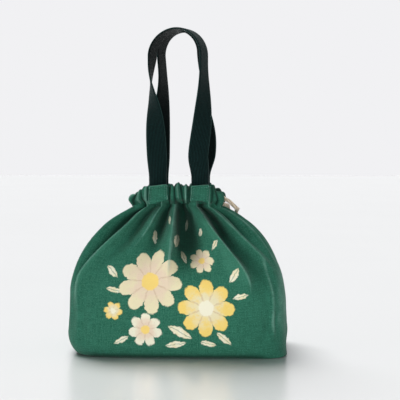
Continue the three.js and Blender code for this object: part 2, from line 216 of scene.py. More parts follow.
def add_mesh(name, points, faces, uv=None, values=None, flat_from=None):
    """A smooth-shaded mesh in metres. Faces from the index flat_from on are shaded flat."""
    mesh = bpy.data.meshes.new(name)
    mesh.from_pydata((np.asarray(points, float).reshape(-1, 3) * MM).tolist(), [], faces)
    smooth = np.ones(len(mesh.polygons), bool)
    if flat_from is not None:
        smooth[flat_from:] = False
    mesh.polygons.foreach_set("use_smooth", smooth)
    if uv is not None:
        corners = np.zeros(len(mesh.loops), np.int32)
        mesh.loops.foreach_get("vertex_index", corners)
        layer = mesh.uv_layers.new(name="cloth")
        layer.data.foreach_set("uv", np.asarray(uv, np.float32).reshape(-1, 2)[corners].ravel())
    for attribute, numbers in (values or {}).items():
        layer = mesh.attributes.new(attribute, "FLOAT", "POINT")
        layer.data.foreach_set("value", np.asarray(numbers, np.float32).ravel())
    mesh.update()
    piece = bpy.data.objects.new(name, mesh)
    scene.collection.objects.link(piece)
    return piece


def quads(columns, rows, loop_columns=False, loop_rows=False, first=0, flip=False):
    """Faces of a grid of points[column][row]; seen from outside, columns run right and rows up."""
    column = np.arange(columns if loop_columns else columns - 1)[:, None]
    row = np.arange(rows if loop_rows else rows - 1)[None, :]
    right = (column + 1) % columns
    up = (row + 1) % rows
    faces = np.stack([
        column * rows + row, right * rows + row, right * rows + up, column * rows + up,
    ], -1).reshape(-1, 4) + first
    return (faces[:, ::-1] if flip else faces).tolist()


def capped_tube(rings, sides, first=0):
    """Faces of a row of rings with both ends closed."""
    last = first + (rings - 1) * sides
    ends = [tuple(range(start, start + sides)) for start in (first, last)]
    return quads(rings, sides, loop_rows=True, first=first) + ends


def shell_mesh(name, outer, inner, uv, values=None, tube=False):
    """A closed sheet between two grids of points. The last row of a tube is joined to its first."""
    columns, rows = outer.shape[:2]
    count = columns * rows
    faces = quads(columns, rows, loop_rows=tube)
    faces += quads(columns, rows, loop_rows=tube, first=count, flip=True)
    smooth_faces = len(faces)
    index = np.arange(count).reshape(columns, rows)
    if tube:
        rims = [index[0, ::-1], index[-1]]
    else:
        rims = [np.concatenate([index[:, 0], index[-1, 1:], index[-2::-1, -1], index[0, -2:0:-1]])]
    for rim in rims:
        for here, after in zip(rim.tolist(), np.roll(rim, -1).tolist()):
            faces.append((after, here, here + count, after + count))
    points = np.concatenate([outer.reshape(-1, 3), inner.reshape(-1, 3)])
    doubled = {key: np.concatenate([v.ravel(), v.ravel()]) for key, v in (values or {}).items()}
    uvs = np.concatenate([uv.reshape(-1, 2), uv.reshape(-1, 2)])
    return add_mesh(name, points, faces, uvs, doubled, smooth_faces)


def outward(piece):
    """Turns the faces of a closed mesh outward."""
    mesh = bmesh.new()
    mesh.from_mesh(piece.data)
    bmesh.ops.recalc_face_normals(mesh, faces=mesh.faces)
    mesh.to_mesh(piece.data)
    mesh.free()
    return piece


def finish_piece(piece, material, replaced=(), body="bag"):
    """Gives a piece its material and slot, hides the CAD parts it replaces and attaches it to its body. A
    piece without a body is left unattached here, or made a child by its caller.
    """
    piece.data.materials.append(material)
    if replaced:
        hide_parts(*replaced)
    if body:
        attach(piece, body)
    return piece


# The bag's wall

STEP = 0.01
DENSE = 4000
FOLD_BELOW, FOLD_ABOVE = 8, 40
CREST_HELD, VALLEY_HELD, HELD_FULLY, HELD_FLATTER = 126, 134, 146, 0.4
GATHERING = (70, 134)
STEEPNESS, STEEP_SHARE = 2.2, 0.9
RUFFLE_POWER = 0.6


def outline(angle, half_width, half_depth, squareness):
    across, along = np.cos(angle), np.sin(angle)
    reach = (np.abs(across) ** squareness + np.abs(along) ** squareness) ** (-1 / squareness)
    return half_width * across * reach, half_depth * along * reach


def gather_height(angle):
    return GATHER_HEIGHT - SIDE_DROOP * np.cos(angle) ** 4


def smooth_wall(angle, level, bottom=WALL_BOTTOM, inset=BASE_INSET, toe_height=TOE_HEIGHT):
    """The wall without its folds; the level runs from 0 at the base to 1 at the gathers."""
    height = lerp(bottom, gather_height(angle), level)
    climb = np.maximum(0, (height - SHOULDER_HEIGHT) / (gather_height(angle) - SHOULDER_HEIGHT))
    fullness = np.maximum(0, 1 - climb ** SHOULDER_SWELL) ** SHOULDER_ROUND
    toe = np.maximum(0, 1 - height / toe_height) ** 2 * inset
    half_width = lerp(NECK_WIDTH, BODY_WIDTH, fullness) / 2 - toe
    half_depth = lerp(NECK_DEPTH, BODY_DEPTH, fullness) / 2 - toe
    x, y = outline(angle, half_width, half_depth, lerp(BODY_SQUARENESS, NECK_SQUARENESS, level))
    return np.stack([x, y, height + 0 * x], -1)


def wall_normal(angle, level, **shape):
    around = smooth_wall(angle + STEP, level, **shape) - smooth_wall(angle - STEP, level, **shape)
    up = smooth_wall(angle, np.minimum(1, level + STEP), **shape)
    up = up - smooth_wall(angle, np.maximum(0, level - STEP), **shape)
    return unit(np.cross(around, up))


def pleat_depth(level):
    """How far the CAD solid's own folds stand out, which the drawstring tails lie over."""
    return PLEAT_DEPTH * between(level, (PLEAT_START, PLEAT_FULL), (PLEAT_CLOSE, 1))


def fold_ramp(height, end, held):
    """A fold grows above its end and is drawn flatter from the height where the casing holds it."""
    grown = smoothstep(height, end - FOLD_BELOW, end + FOLD_ABOVE)
    return grown * (1 - HELD_FLATTER * smoothstep(height, held, HELD_FULLY))


def folds_at(angle, height, side):
    """How far the folds stand off the smooth wall."""
    turn = np.degrees(angle) - MIDDLES[side]
    lift = np.zeros_like(turn)
    gathered = smoothstep(height, *GATHERING)
    folds = [Fold(*row) for row in FOLDS[side]]
    for left, right in zip(folds, folds[1:]):
        start = lerp(left.low_turn, left.neck_turn, gathered)
        end = lerp(right.low_turn, right.neck_turn, gathered)
        share = np.clip((turn - start) / (end - start), 0, 1)
        near_left = share < left.valley_at
        away = np.where(near_left, share / left.valley_at, (1 - share) / (1 - left.valley_at))
        crests = [fold.rise * fold_ramp(height, fold.end, CREST_HELD) for fold in (left, right)]
        crest = np.where(near_left, *crests)
        sharp = np.where(near_left, left.right_fall, right.left_fall)
        soft_fall = (1 - np.cos(np.pi * away)) / 2
        steep_fall = 1 - (1 - away) ** (1 + STEEPNESS * sharp)
        fall = lerp(soft_fall, steep_fall, sharp * STEEP_SHARE)
        valley = -left.depth * fold_ramp(height, left.valley_end, VALLEY_HELD)
        inside = (turn >= start) & (turn <= end)
        lift = np.where(inside, lerp(crest, valley, fall), lift)
    return lift


def neck(angle, lift=0):
    """The neck's outline at the middle of the casing, moved outward."""
    angle = np.asarray(angle, float)

    def ring(turn):
        return np.stack(outline(turn, NECK_WIDTH / 2, NECK_DEPTH / 2, NECK_SQUARENESS), -1)

    along = unit(ring(angle + STEP) - ring(angle - STEP))
    out = np.stack([along[..., 1], -along[..., 0]], -1)
    return ring(angle) + out * lift


def neck_places(side):
    """Angles along a side, and how far along the neck each lies from the middle of the side."""
    dense = np.linspace(*SIDES[side], DENSE)
    run = run_of(neck(dense))
    return dense, run - run[-1] / 2


def ruffles(along, ridges, roundness=1):
    """1 on each ridge and 0 in the creases between; a low roundness gives round backs and sharp creases."""
    ridges = np.asarray(ridges, float)
    after = np.clip(np.searchsorted(ridges, along), 1, len(ridges) - 1)
    share = (along - ridges[after - 1]) / (ridges[after] - ridges[after - 1])
    from_ridge = 1 - np.abs(2 * np.clip(share, 0, 1) - 1)
    return lerp((1 - from_ridge ** 2) ** RUFFLE_POWER, (1 + np.cos(math.pi * from_ridge)) / 2, roundness)


def even_columns(side, count):
    """Angles evenly spread along a side of the full body, and their places along the cloth."""
    dense = np.linspace(*SIDES[side], DENSE)
    run = run_of(np.stack(outline(dense, BODY_WIDTH / 2, BODY_DEPTH / 2, BODY_SQUARENESS), -1))
    along = np.linspace(0, run[-1], count)
    return np.interp(along, run, dense), along - run[-1] / 2


PANEL_COLUMNS, PANEL_ROWS = 261, 121
CLOTH_BOTTOM = 0.5
CLOTH_THICKNESS = 1.1
TUCKED = (2, 5.5)
TOE_INSET, LEFT_TOE_INSET, RIGHT_TOE_INSET, LEFT_TOE_HEIGHT = 7, 11, -1, 24
LEFT_END, RIGHT_END, SLACK_END = (0.55, 1), (0.5, 0.8), (0.55, 0.9)
SMALL_RUFFLE, RUFFLED = 2, (122, 141)
BODY_STARTS, BODY_ENDS = (4, 24), (118, 140)
LEFT_SLACK = 1.8
SEAM_TURN, SEAM_DEPTH, SEAM_WIDTH = 90, 0.9, 1.4
LEVELLED, LEVEL_SHARE = (104, 138), 0.95
# Upright creases over the base's corners: turn and rise, the width of each and the dent beside it
CORNER_CREASES = [(45.4, 1.9), (-45, 0.7)]
CREASE_WIDTH, CREASE_STARTS, CREASE_ENDS = 1.4, (14, 34), (84, 110)
BESIDE_CREASE, BESIDE_WIDTH, BESIDE_DEPTH = 3, 2.4, 0.7
# Dents and puckers low on the body: turn, height, the width and the height of each, and its rise
DENTS = [
    (-41, 19, 4, 6, -1.4), (-46, 31, 2.5, 9, 0.9), (-33, 13, 6, 5, -0.9), (-37, 30, 3, 8, 0.6),
    (43.2, 33, 1.3, 6, -1.2), (46.4, 25, 1.2, 6, 1), (43.6, 20, 1.4, 4, 0.9), (38, 16, 5, 5, -0.8),
    (47.4, 37, 1.2, 5, -0.8), (10, 12, 12, 5, -0.5), (-14, 10, 9, 4, 0.5), (64, 40, 5, 14, -1.2),
    (-62, 44, 6, 16, -1.2), (75, 24, 5, 9, 0.9), (-76, 26, 5, 9, 0.9), (-41.5, 46, 2.2, 16, -1.6),
    (-37.5, 42, 2.2, 14, 0.5),
]


def toe_shape(angle, inset=0):
    """The base's edge is rolled under in front, rounded at the left and drawn out to a point at the right."""
    left = smoothstep(-np.cos(angle), *LEFT_END)
    right = smoothstep(np.cos(angle), *RIGHT_END)
    rolled = lerp(lerp(TOE_INSET, LEFT_TOE_INSET, left), RIGHT_TOE_INSET, right)
    return {"inset": rolled + inset, "toe_height": lerp(TOE_HEIGHT, LEFT_TOE_HEIGHT, left)}


def sway(along, height):
    """Slow waves in slack cloth."""
    wave = 0.7 * np.sin(0.041 * along + 1.1) * np.sin(0.05 * height + 0.5)
    wave += 0.4 * np.sin(0.093 * along + 0.071 * height + 0.3)
    return wave + 0.22 * np.sin(0.19 * along - 0.13 * height + 2.1)


def cloth_lift(angle, along, height, side):
    """How far a panel's cloth stands off the smooth wall."""
    turn = np.degrees(angle) - MIDDLES[side]
    small = ruffles(np.interp(angle, *neck_places(side)), RIDGES[side]) - 0.5
    lift = folds_at(angle, height, side) + SMALL_RUFFLE * small * smoothstep(height, *RUFFLED)
    body = between(height, BODY_STARTS, BODY_ENDS)
    slack = LEFT_SLACK * smoothstep(-np.cos(angle), *SLACK_END)
    lift = lift + (sway(along, height) - slack) * body
    upright = between(height, CREASE_STARTS, CREASE_ENDS)
    for at, rise in CORNER_CREASES:
        beside = BESIDE_DEPTH * hump(turn, at - BESIDE_CREASE, BESIDE_WIDTH)
        lift = lift + rise * (hump(turn, at, CREASE_WIDTH) - beside) * upright
    for at, level, wide, tall, rise in DENTS:
        lift = lift + rise * hump(turn, at, wide) * hump(height, level, tall)
    # The side seams are drawn in
    return lift - SEAM_DEPTH * hump(np.abs(turn), SEAM_TURN, SEAM_WIDTH)


def fold_direction(angle, level, height):
    """Folds stand off the wall square to it, and level where the casing draws them in."""
    normal = wall_normal(angle, level, bottom=CLOTH_BOTTOM)
    normal[..., 2] = normal[..., 2] * (1 - LEVEL_SHARE * smoothstep(height, *LEVELLED))
    return unit(normal)


def panel_points(side):
    """A panel's points, how far each stands off the wall, and its place on the flat cloth."""
    angles, along = even_columns(side, PANEL_COLUMNS)
    angle, level = np.meshgrid(angles, np.linspace(0, 1, PANEL_ROWS), indexing="ij")
    base = smooth_wall(angle, level, bottom=CLOTH_BOTTOM, **toe_shape(angle))
    lift = cloth_lift(angle, along[:, None], base[..., 2], side)
    points = base + fold_direction(angle, level, base[..., 2]) * lift[..., None]
    climb = np.linalg.norm(np.diff(base, axis=1), axis=-1)
    up = np.concatenate([np.zeros((PANEL_COLUMNS, 1)), np.cumsum(climb, 1)], 1)
    # A little more cloth goes up into the casing
    points = np.concatenate([points, *(points[:, -1:] + np.array([0, 0, rise]) for rise in TUCKED)], 1)
    up = np.concatenate([up, *(up[:, -1:] + rise for rise in TUCKED)], 1)
    lift = np.concatenate([lift, *(lift[:, -1:] for _ in TUCKED)], 1)
    return points, lift, np.stack(np.broadcast_arrays(along[:, None], up), -1)


def grid_normals(points):
    return unit(np.cross(np.gradient(points, axis=0), np.gradient(points, axis=1)))


# Materials

SLUB_RATE = 0.08


class Value:
    """A shader value. Sums, differences and products of values become math nodes."""

    def __init__(self, nodes, socket):
        self.nodes = nodes
        self.socket = socket

    def __add__(self, other):
        return self.nodes.math("ADD", self, other)

    def __sub__(self, other):
        return self.nodes.math("SUBTRACT", self, other)

    def __rsub__(self, other):
        return self.nodes.math("SUBTRACT", other, self)

    def __mul__(self, other):
        return self.nodes.math("MULTIPLY", self, other)

    def __abs__(self):
        return self.nodes.math("ABSOLUTE", self)


class Nodes:
    """Short names for the shader nodes of one material."""

    def __init__(self, name):
        self.material = bpy.data.materials.new(name)
        self.material.use_nodes = True
        self.tree = self.material.node_tree
        self.shader = self.tree.nodes["Principled BSDF"]

    def feed(self, made, inputs):
        for key, value in inputs.items():
            if isinstance(value, Value):
                self.tree.links.new(value.socket, made.inputs[key])
            else:
                made.inputs[key].default_value = value

    def node(self, kind, inputs, output=0, **settings):
        """One output of a new node."""
        made = self.tree.nodes.new("ShaderNode" + kind)
        for key, value in settings.items():
            setattr(made, key, value)
        self.feed(made, inputs)
        return Value(self, made.outputs[output])

    def math(self, operation, *values):
        return self.node("Math", dict(enumerate(values)), operation=operation)

    def vector(self, operation, *values):
        output = "Value" if operation in ("LENGTH", "DOT_PRODUCT") else "Vector"
        return self.node("VectorMath", dict(enumerate(values)), output, operation=operation)

    def mix(self, share, first, second, blend="MIX"):
        return self.node("Mix", {0: share, 6: first, 7: second}, 2, data_type="RGBA", blend_type=blend)

    def ramp(self, value, low, high, out_low=0.0, out_high=1.0):
        inputs = dict(enumerate((value, low, high, out_low, out_high)))
        return self.node("MapRange", inputs, interpolation_type="SMOOTHSTEP")

    def noise(self, place, scale, detail=2.0, roughness=0.5, output="Fac"):
        inputs = {"Vector": place, "Scale": scale, "Detail": detail, "Roughness": roughness}
        return self.node("TexNoise", inputs, output)

    def streaks(self, place, across, along, detail=2.0):
        """Noise drawn out along one way of the cloth."""
        return self.noise(self.vector("MULTIPLY", place, (across, along, 0)), 1.0, detail)

    def slubs(self, place, fineness):
        """Thick and thin yarns that run both ways."""
        return self.streaks(place, SLUB_RATE, fineness) + self.streaks(place, fineness, SLUB_RATE)

    def ribs(self, value, pitch):
        """Rounded ribs, a pitch apart."""
        return abs(self.math("SINE", value * (math.pi / pitch)))

    def attribute(self, name):
        return self.node("Attribute", {}, "Fac", attribute_name=name)

    def cloth_uv(self):
        return self.node("UVMap", {}, uv_map="cloth")

    def object_place(self):
        return self.node("TexCoord", {}, "Object")

    def split(self, vector):
        return [self.node("SeparateXYZ", {0: vector}, axis) for axis in (0, 1)]

    def surface(self, **inputs):
        self.feed(self.shader, {key.replace("_", " "): value for key, value in inputs.items()})

    def bump(self, height, strength, distance):
        self.surface(Normal=self.node(
            "Bump", {"Strength": strength, "Distance": distance, "Height": height}
        ))


def rgb(red, green, blue):
    """Linear colour of an sRGB one in 0 to 255."""
    channels = [c / 255 for c in (red, green, blue)]
    return tuple(c / 12.92 if c < 0.04045 else ((c + 0.055) / 1.055) ** 2.4 for c in channels) + (1.0,)


GREEN, GREEN_DARK, GREEN_PALE = rgb(43, 101, 82), rgb(32, 84, 67), rgb(70, 132, 110)
# A pale green for wear on crests and edges, partly a painted highlight there, and for painted light on the
# right side
GREEN_WEAR_HIGHLIGHT, GREEN_SHEEN = rgb(124, 168, 154), rgb(190, 214, 204)
CREASE_SHADE = (0.14, 0.17, 0.17, 1.0)
CREAM, YELLOW, BEIGE, PALE = rgb(222, 212, 176), rgb(232, 202, 112), rgb(221, 200, 178), rgb(228, 224, 202)
PETAL_SHADE = rgb(196, 166, 138)
COTTON_DARK, COTTON_PALE = rgb(186, 178, 152), rgb(212, 206, 184)
WEBBING_DARK, WEBBING_PALE = rgb(3, 10, 10), rgb(22, 45, 44)
WEBBING_EDGE, WEBBING_SHEEN = rgb(66, 96, 93), rgb(120, 168, 166)
INNER_SHADE = (0.3, 0.3, 0.3, 1.0)
CORD_DARK, CORD_PALE, CORD_GROOVE_SHADE = rgb(206, 186, 160), rgb(232, 218, 196), rgb(132, 104, 76)
BOARD_DARK, BOARD_PALE = rgb(126, 120, 108), rgb(150, 144, 132)
THREAD_DARK, THREAD_PALE = rgb(40, 84, 70), rgb(92, 150, 132)
TABLE_DARK, TABLE_PALE = rgb(243, 244, 244), rgb(247, 248, 248)
THREAD_PITCH, RIB_PITCH = 0.9, 1.45
PETAL_DEPTH, PETAL_ROUND, FLOWER_MIDDLE, FLOWER_SOFT = 0.42, 0.55, 0.27, 0.8
LEAF_SOFT = 0.5

# The print: flowers with a centre, radius, petals, turn and colours, and leaf sprigs
FLOWERS = [
    ((-23, 76), 31, 9, 0.4, CREAM, BEIGE, YELLOW),
    ((31, 51), 27, 8, 0.1, YELLOW, CREAM, PALE),
    ((-27, 30), 16, 7, 0.9, PALE, BEIGE, YELLOW),
    ((29, 97), 13, 7, 0.2, CREAM, BEIGE, YELLOW),
    ((-58, 48), 9, 6, 0.5, YELLOW, CREAM, PALE),
]
# Each leaf's centre, length, width and turn
LEAVES = [
    ((6, 28), 26, 8, -0.5), ((2, 16), 20, 6, 0.15), ((60, 82), 18, 6, 0.9), ((64, 62), 16, 5, 0.2),
    ((-62, 86), 18, 6, 2.4), ((-58, 68), 16, 5, 2.9), ((10, 102), 16, 5, 1.9), ((2, 118), 14, 5, 1.4),
    ((48, 22), 18, 6, -0.7), ((33, 17), 16, 5, -0.2), ((-50, 20), 16, 5, 3.6), ((-26, 122), 15, 5, 1.9),
    ((47, 112), 13, 4, 0.8), ((16, 134), 12, 4, 1.2), ((-9, 138), 11, 4, 1.8), ((34, 126), 10, 4, 1.1),
]
INK_WANDER = (3.2, 3.2, 0)


def flower(nodes, place, centre, radius, petals, turn):
    """(petal mask, middle mask, distance over the radius, petal creases) of a round flower."""
    from_centre = nodes.vector("SUBTRACT", place, (*centre, 0))
    x, y = nodes.split(from_centre)
    reach = nodes.vector("LENGTH", from_centre) * (1 / radius)
    wave = abs(nodes.math("COSINE", nodes.math("ARCTAN2", y, x) * (petals / 2) + turn))
    edge = nodes.math("POWER", wave, PETAL_ROUND) * PETAL_DEPTH + (1 - PETAL_DEPTH)
    soft = FLOWER_SOFT / radius
    petal = nodes.ramp(edge - reach, -soft, soft)
    middle = nodes.ramp(reach, FLOWER_MIDDLE + soft, FLOWER_MIDDLE - soft)
    crease = nodes.ramp(wave, 0.42, 0.05) * nodes.ramp(reach, 0.75, 0.4)
    return petal, middle, reach, crease


def leaf(nodes, place, centre, length, width, turn):
    """Mask of an almond-shaped leaf with a bare line down its middle."""
    from_centre = nodes.vector("SUBTRACT", place, (*centre, 0))
    along = nodes.vector("DOT_PRODUCT", from_centre, (math.cos(turn), math.sin(turn), 0))
    across = nodes.vector("DOT_PRODUCT", from_centre, (-math.sin(turn), math.cos(turn), 0))
    share = along * (2 / length)
    half = (1 - share * share) * (width / 2)
    off = abs(across)
    return nodes.ramp(half - off, -LEAF_SOFT, LEAF_SOFT) * nodes.ramp(off, 0.1, 0.6, 0.45, 1.0)


def printed(nodes, place, colour):
    """The ground colour with the print over it, thinly inked and a little uneven at its edges."""
    wander = nodes.vector("SUBTRACT", nodes.noise(place, 0.35, output="Color"), (0.5, 0.5, 0.5))
    drawn = nodes.vector("ADD", place, nodes.vector("MULTIPLY", wander, INK_WANDER))
    wash = nodes.noise(place, 0.11, 3.0, 0.6)
    cover = nodes.ramp(nodes.noise(place, 0.9, 3.0, 0.6), 0.24, 0.42, 0.7, 0.96)
    blush = nodes.ramp(wash, 0.4, 0.7, -0.12, 0.2)
    leaf_colour = nodes.mix(nodes.ramp(wash, 0.4, 0.65), PALE, CREAM)
    for shape in LEAVES:
        colour = nodes.mix(leaf(nodes, drawn, *shape) * cover, colour, leaf_colour)
    for *shape, rim, throat, middle in FLOWERS:
        petal, disc, reach, crease = flower(nodes, drawn, *shape)
        shade = nodes.mix(nodes.ramp(reach + blush, 0.25, 0.85), throat, rim)
        shade = nodes.mix(crease * 0.55, shade, PETAL_SHADE)
        colour = nodes.mix(petal * cover, colour, shade)
        colour = nodes.mix(disc * cover, colour, middle)
    return colour


def canvas_material(name, with_print=False):
    nodes = Nodes(name)
    place = nodes.cloth_uv()
    u, v = nodes.split(place)
    # Plain weave: warp and weft threads take turns on top
    warp_up = nodes.node("TexChecker", {"Vector": place, "Scale": 1 / THREAD_PITCH}, "Fac")
    weave = nodes.ribs(u, THREAD_PITCH) * warp_up + nodes.ribs(v, THREAD_PITCH) * (1 - warp_up)
    slub = nodes.slubs(place, 0.9)
    fleck = nodes.noise(place, 0.9, 2.0, 0.75)
    fold = nodes.attribute("fold")
    colour = nodes.mix(nodes.ramp(slub, 0.75, 1.3), GREEN_DARK, GREEN)
    colour = nodes.mix(nodes.ramp(fleck, 0.46, 0.68) * 0.6, colour, GREEN_PALE)
    # Painted highlight: the crests of the folds are mixed paler
    colour = nodes.mix(nodes.ramp(fold, 0.5, 1, 0.0, 0.28), colour, GREEN_PALE)
    if with_print:
        colour = printed(nodes, place, colour)
    # Wear on crests and edges, broken into patches, is mixed in pale green: partly a painted highlight, and
    # painted light on the right side
    patches = nodes.ramp(nodes.noise(place, 0.07, 3.0, 0.7), 0.36, 0.62, 0.4, 1.0)
    wear_and_highlight = nodes.ramp(nodes.attribute("wear_and_highlight"), 0.1, 1, 0.0, 0.6) * patches
    colour = nodes.mix(wear_and_highlight, colour, GREEN_WEAR_HIGHLIGHT)
    colour = nodes.mix(nodes.ramp(fold, -0.1, -1, 0.0, 0.95), colour, CREASE_SHADE, "MULTIPLY")
    nodes.surface(
        Base_Color=colour, Roughness=nodes.ramp(fleck, 0.2, 0.8, 0.82, 0.95), Specular_IOR_Level=0.25,
        Sheen_Weight=0.12, Sheen_Roughness=0.4, Sheen_Tint=GREEN_SHEEN,
    )
    nodes.bump(weave * 0.5 + slub * 0.7, 0.5, 0.0004)
    return nodes.material


def lining_material():
    nodes = Nodes("lining_cotton")
    slub = nodes.slubs(nodes.cloth_uv(), 1.6)
    colour = nodes.mix(nodes.ramp(slub, 0.7, 1.3), COTTON_DARK, COTTON_PALE)
    nodes.surface(Base_Color=colour, Roughness=0.92, Specular_IOR_Level=0.2, Sheen_Weight=0.15)
    nodes.bump(slub, 0.4, 0.0003)
    return nodes.material


def webbing_material():
    nodes = Nodes("ribbed_webbing")
    place = nodes.cloth_uv()
    u, v = nodes.split(place)
    ribs = nodes.ribs(u, RIB_PITCH)
    picks = nodes.math("SINE", v * 3.6 + ribs * 1.6)
    yarn = nodes.streaks(place, 2.2, 0.25)
    colour = nodes.mix(nodes.ramp(ribs * 0.55 + yarn * 0.5, 0.3, 0.95), WEBBING_DARK, WEBBING_PALE)
    half = WEBBING_WIDTH / 2
    # Paler edges: partly a lighter selvedge, partly a painted highlight along them
    edge = nodes.ramp(abs(u), 0.86 * half, half, 0.0, 0.5)
    colour = nodes.mix(edge, colour, WEBBING_EDGE)
    inner = nodes.ramp(nodes.attribute("fold"), 0.4, -0.6)
    colour = nodes.mix(inner, colour, INNER_SHADE, "MULTIPLY")
    nodes.surface(
        Base_Color=colour, Roughness=nodes.ramp(yarn, 0.3, 0.7, 0.4, 0.56), Specular_IOR_Level=0.05,
        Sheen_Weight=0.03, Sheen_Roughness=0.4, Sheen_Tint=WEBBING_SHEEN,
    )
    nodes.bump(ribs + picks * 0.25, 0.55, 0.0004)
    return nodes.material


def cord_material():
    nodes = Nodes("twisted_cotton")
    fibre = nodes.streaks(nodes.cloth_uv(), 3.0, 0.5, 3.0)
    colour = nodes.mix(nodes.ramp(fibre, 0.3, 0.7), CORD_DARK, CORD_PALE)
    # Painted shade in the grooves between the strands
    colour = nodes.mix(nodes.attribute("groove_shade") * 0.75, colour, CORD_GROOVE_SHADE)
    nodes.surface(Base_Color=colour, Roughness=0.88, Specular_IOR_Level=0.25, Sheen_Weight=0.2)
    nodes.bump(fibre, 0.5, 0.0004)
    return nodes.material


def grained_material(name, scale, detail, dark, pale, depth=0, **surface):
    """A plain material of two tones, with a grain that may have a depth."""
    nodes = Nodes(name)
    grain = nodes.noise(nodes.object_place(), scale, detail)
    nodes.surface(Base_Color=nodes.mix(grain, dark, pale), **surface)
    if depth:
        nodes.bump(grain, 0.2, depth)
    return nodes.material


CANVAS = canvas_material("green_canvas")
PRINTED_CANVAS = canvas_material("printed_green_canvas", with_print=True)
COTTON_LINING = lining_material()
WEBBING = webbing_material()
CORD = cord_material()
BOARD = grained_material("stiff_board", 900, 3.0, BOARD_DARK, BOARD_PALE, 0.0002, Roughness=0.7)
THREAD = grained_material("sewing_thread", 2600, 1.0, THREAD_DARK, THREAD_PALE, Roughness=0.6)
TABLE = grained_material("pale_table", 3, 2.0, TABLE_DARK, TABLE_PALE, Roughness=0.27, Specular_IOR_Level=0.9)

# Drawstring: rope-laid cords

ROPE_SIDES, ROPE_PITCH, ROPE_LOBES = 24, 9, 3
ROPE_CORE, STRAND_POWER, GROOVE_POWER, UPRIGHT = 0.74, 0.6, 0.5, 0.9
SPLINE_STEPS, TAIL_STEPS, RELAXING = 24, 150, 24
HIDDEN_START = math.radians(9)
KNOT_TURNS, KNOT_STEPS, KNOT_PHASE = 2.7, 90, 0.6
KNOT_TUCK, KNOT_CORE, KNOT_MARGIN, KNOT_SLANT = 0.1, 2.4, 1.7, 0.5
KNOT_TOP = smooth_wall(KNOT_TURN, KNOT_LEVEL)
KNOT_TOP = KNOT_TOP + wall_normal(KNOT_TURN, KNOT_LEVEL) * (KNOT_WIDTH / 2 + GAP)
END_STEPS, END_HIDDEN, END_TAPER, END_TAPERS = 30, 1.5, 0.92, (0.8, 1)
FRAY_STEPS, FRAY_START, FRAY_REACH, FRAY_DROP = 9, 1, 0.9, 4.6
FRAY_LENGTH, FRAY_RADII = 4, (0.95, 0.55)
FRAY_ROPE = {"lobes": 2, "pitch": 3, "sides": 10}


def spline(points, count):
    """Evenly spaced points on a smooth curve through the given ones."""
    ends = np.vstack([2 * points[0] - points[1], points, 2 * points[-1] - points[-2]])
    share = np.linspace(0, 1, SPLINE_STEPS, endpoint=False)[:, None]
    dense = []
    for before, start, end, after in zip(ends, ends[1:], ends[2:], ends[3:]):
        dense.append(0.5 * (
            2 * start + (end - before) * share
            + (2 * before - 5 * start + 4 * end - after) * share ** 2
            + (3 * start - before - 3 * end + after) * share ** 3
        ))
    dense = np.vstack([*dense, points[-1:]])
    return points_at(dense, np.linspace(0, run_of(dense)[-1], count))


def relaxed(path):
    """A path with its sharper bends eased and its ends kept."""
    path = path.copy()
    for _ in range(RELAXING):
        path[1:-1] = (path[1:-1] + (path[:-2] + path[2:]) / 2) / 2
    return path


def swept(name, path, radius, lobes=ROPE_LOBES, pitch=ROPE_PITCH, sides=ROPE_SIDES):
    """A laid rope along a path, with a radius at each point."""
    radius = np.broadcast_to(radius, len(path))
    along = unit(np.gradient(path, axis=0))
    side = np.cross(along[0], (0, 0, 1) if abs(along[0][2]) < UPRIGHT else (0, 1, 0))
    around = np.linspace(0, 2 * math.pi, sides, endpoint=False)
    rings, grooves, uvs = [], [], []
    for point, ahead, reach, run in zip(path, along, radius, run_of(path)):
        side = unit(side - ahead * np.dot(side, ahead))
        ring = np.outer(np.cos(around), side) + np.outer(np.sin(around), np.cross(ahead, side))
        lay = around - 2 * math.pi * run / pitch / lobes
        strand = np.abs(np.cos(lobes * lay / 2))
        rings.append(point + ring * (reach * lerp(ROPE_CORE, 1, strand ** STRAND_POWER))[:, None])
        grooves.append(1 - strand ** GROOVE_POWER)
        uvs.append(np.stack([lay * reach, run + 0 * lay], -1))
    faces = capped_tube(len(path), sides)
    return outward(add_mesh(name, rings, faces, np.array(uvs), {"groove_shade": np.array(grooves)}))


def ring_points(angles):
    """Points on the line that the cord follows inside the casing."""
    return np.concatenate([neck(angles), (gather_height(angles) + CASING_MIDDLE)[:, None]], -1)


def turn_back(start):
    """Points of the rear tail's turn, from the one where it leaves the casing."""
    turn = np.radians(TURN_DEGREES)
    share = np.sin(turn / 2)
    return start + np.stack(
        [TURN_OUT * share ** 1.5, -TURN_FORWARD * np.sin(turn), -TURN_DOWN * share ** 3], -1
    )


def tail_points(side, route):
    """From inside the casing's end, over the wall and straight down into the knot."""
    opening = side * (EXIT_ANGLE - CORD_EXIT_GAP / NECK_DEPTH)
    start = ring_points(opening + side * HIDDEN_START * np.array([1, 0.5, 0]))
    draped = []
    for turn, level, rise in route:
        lift = pleat_depth(level) + CORD_DIAMETER / 2 + rise
        angle = math.radians(turn)
        draped.append(smooth_wall(angle, level) + wall_normal(angle, level) * lift)
    place = KNOT_TOP + np.array([side * (CORD_DIAMETER + 2 * GAP) / 2, 0, 0])
    drop = [place + np.array([0, 0, height]) for height in (TAIL_DROP, TAIL_DROP / 2, 0)]
    turn = turn_back(start[-1]) if side > 0 else start[:0]
    return start[-1], np.vstack([start, turn, draped, drop])


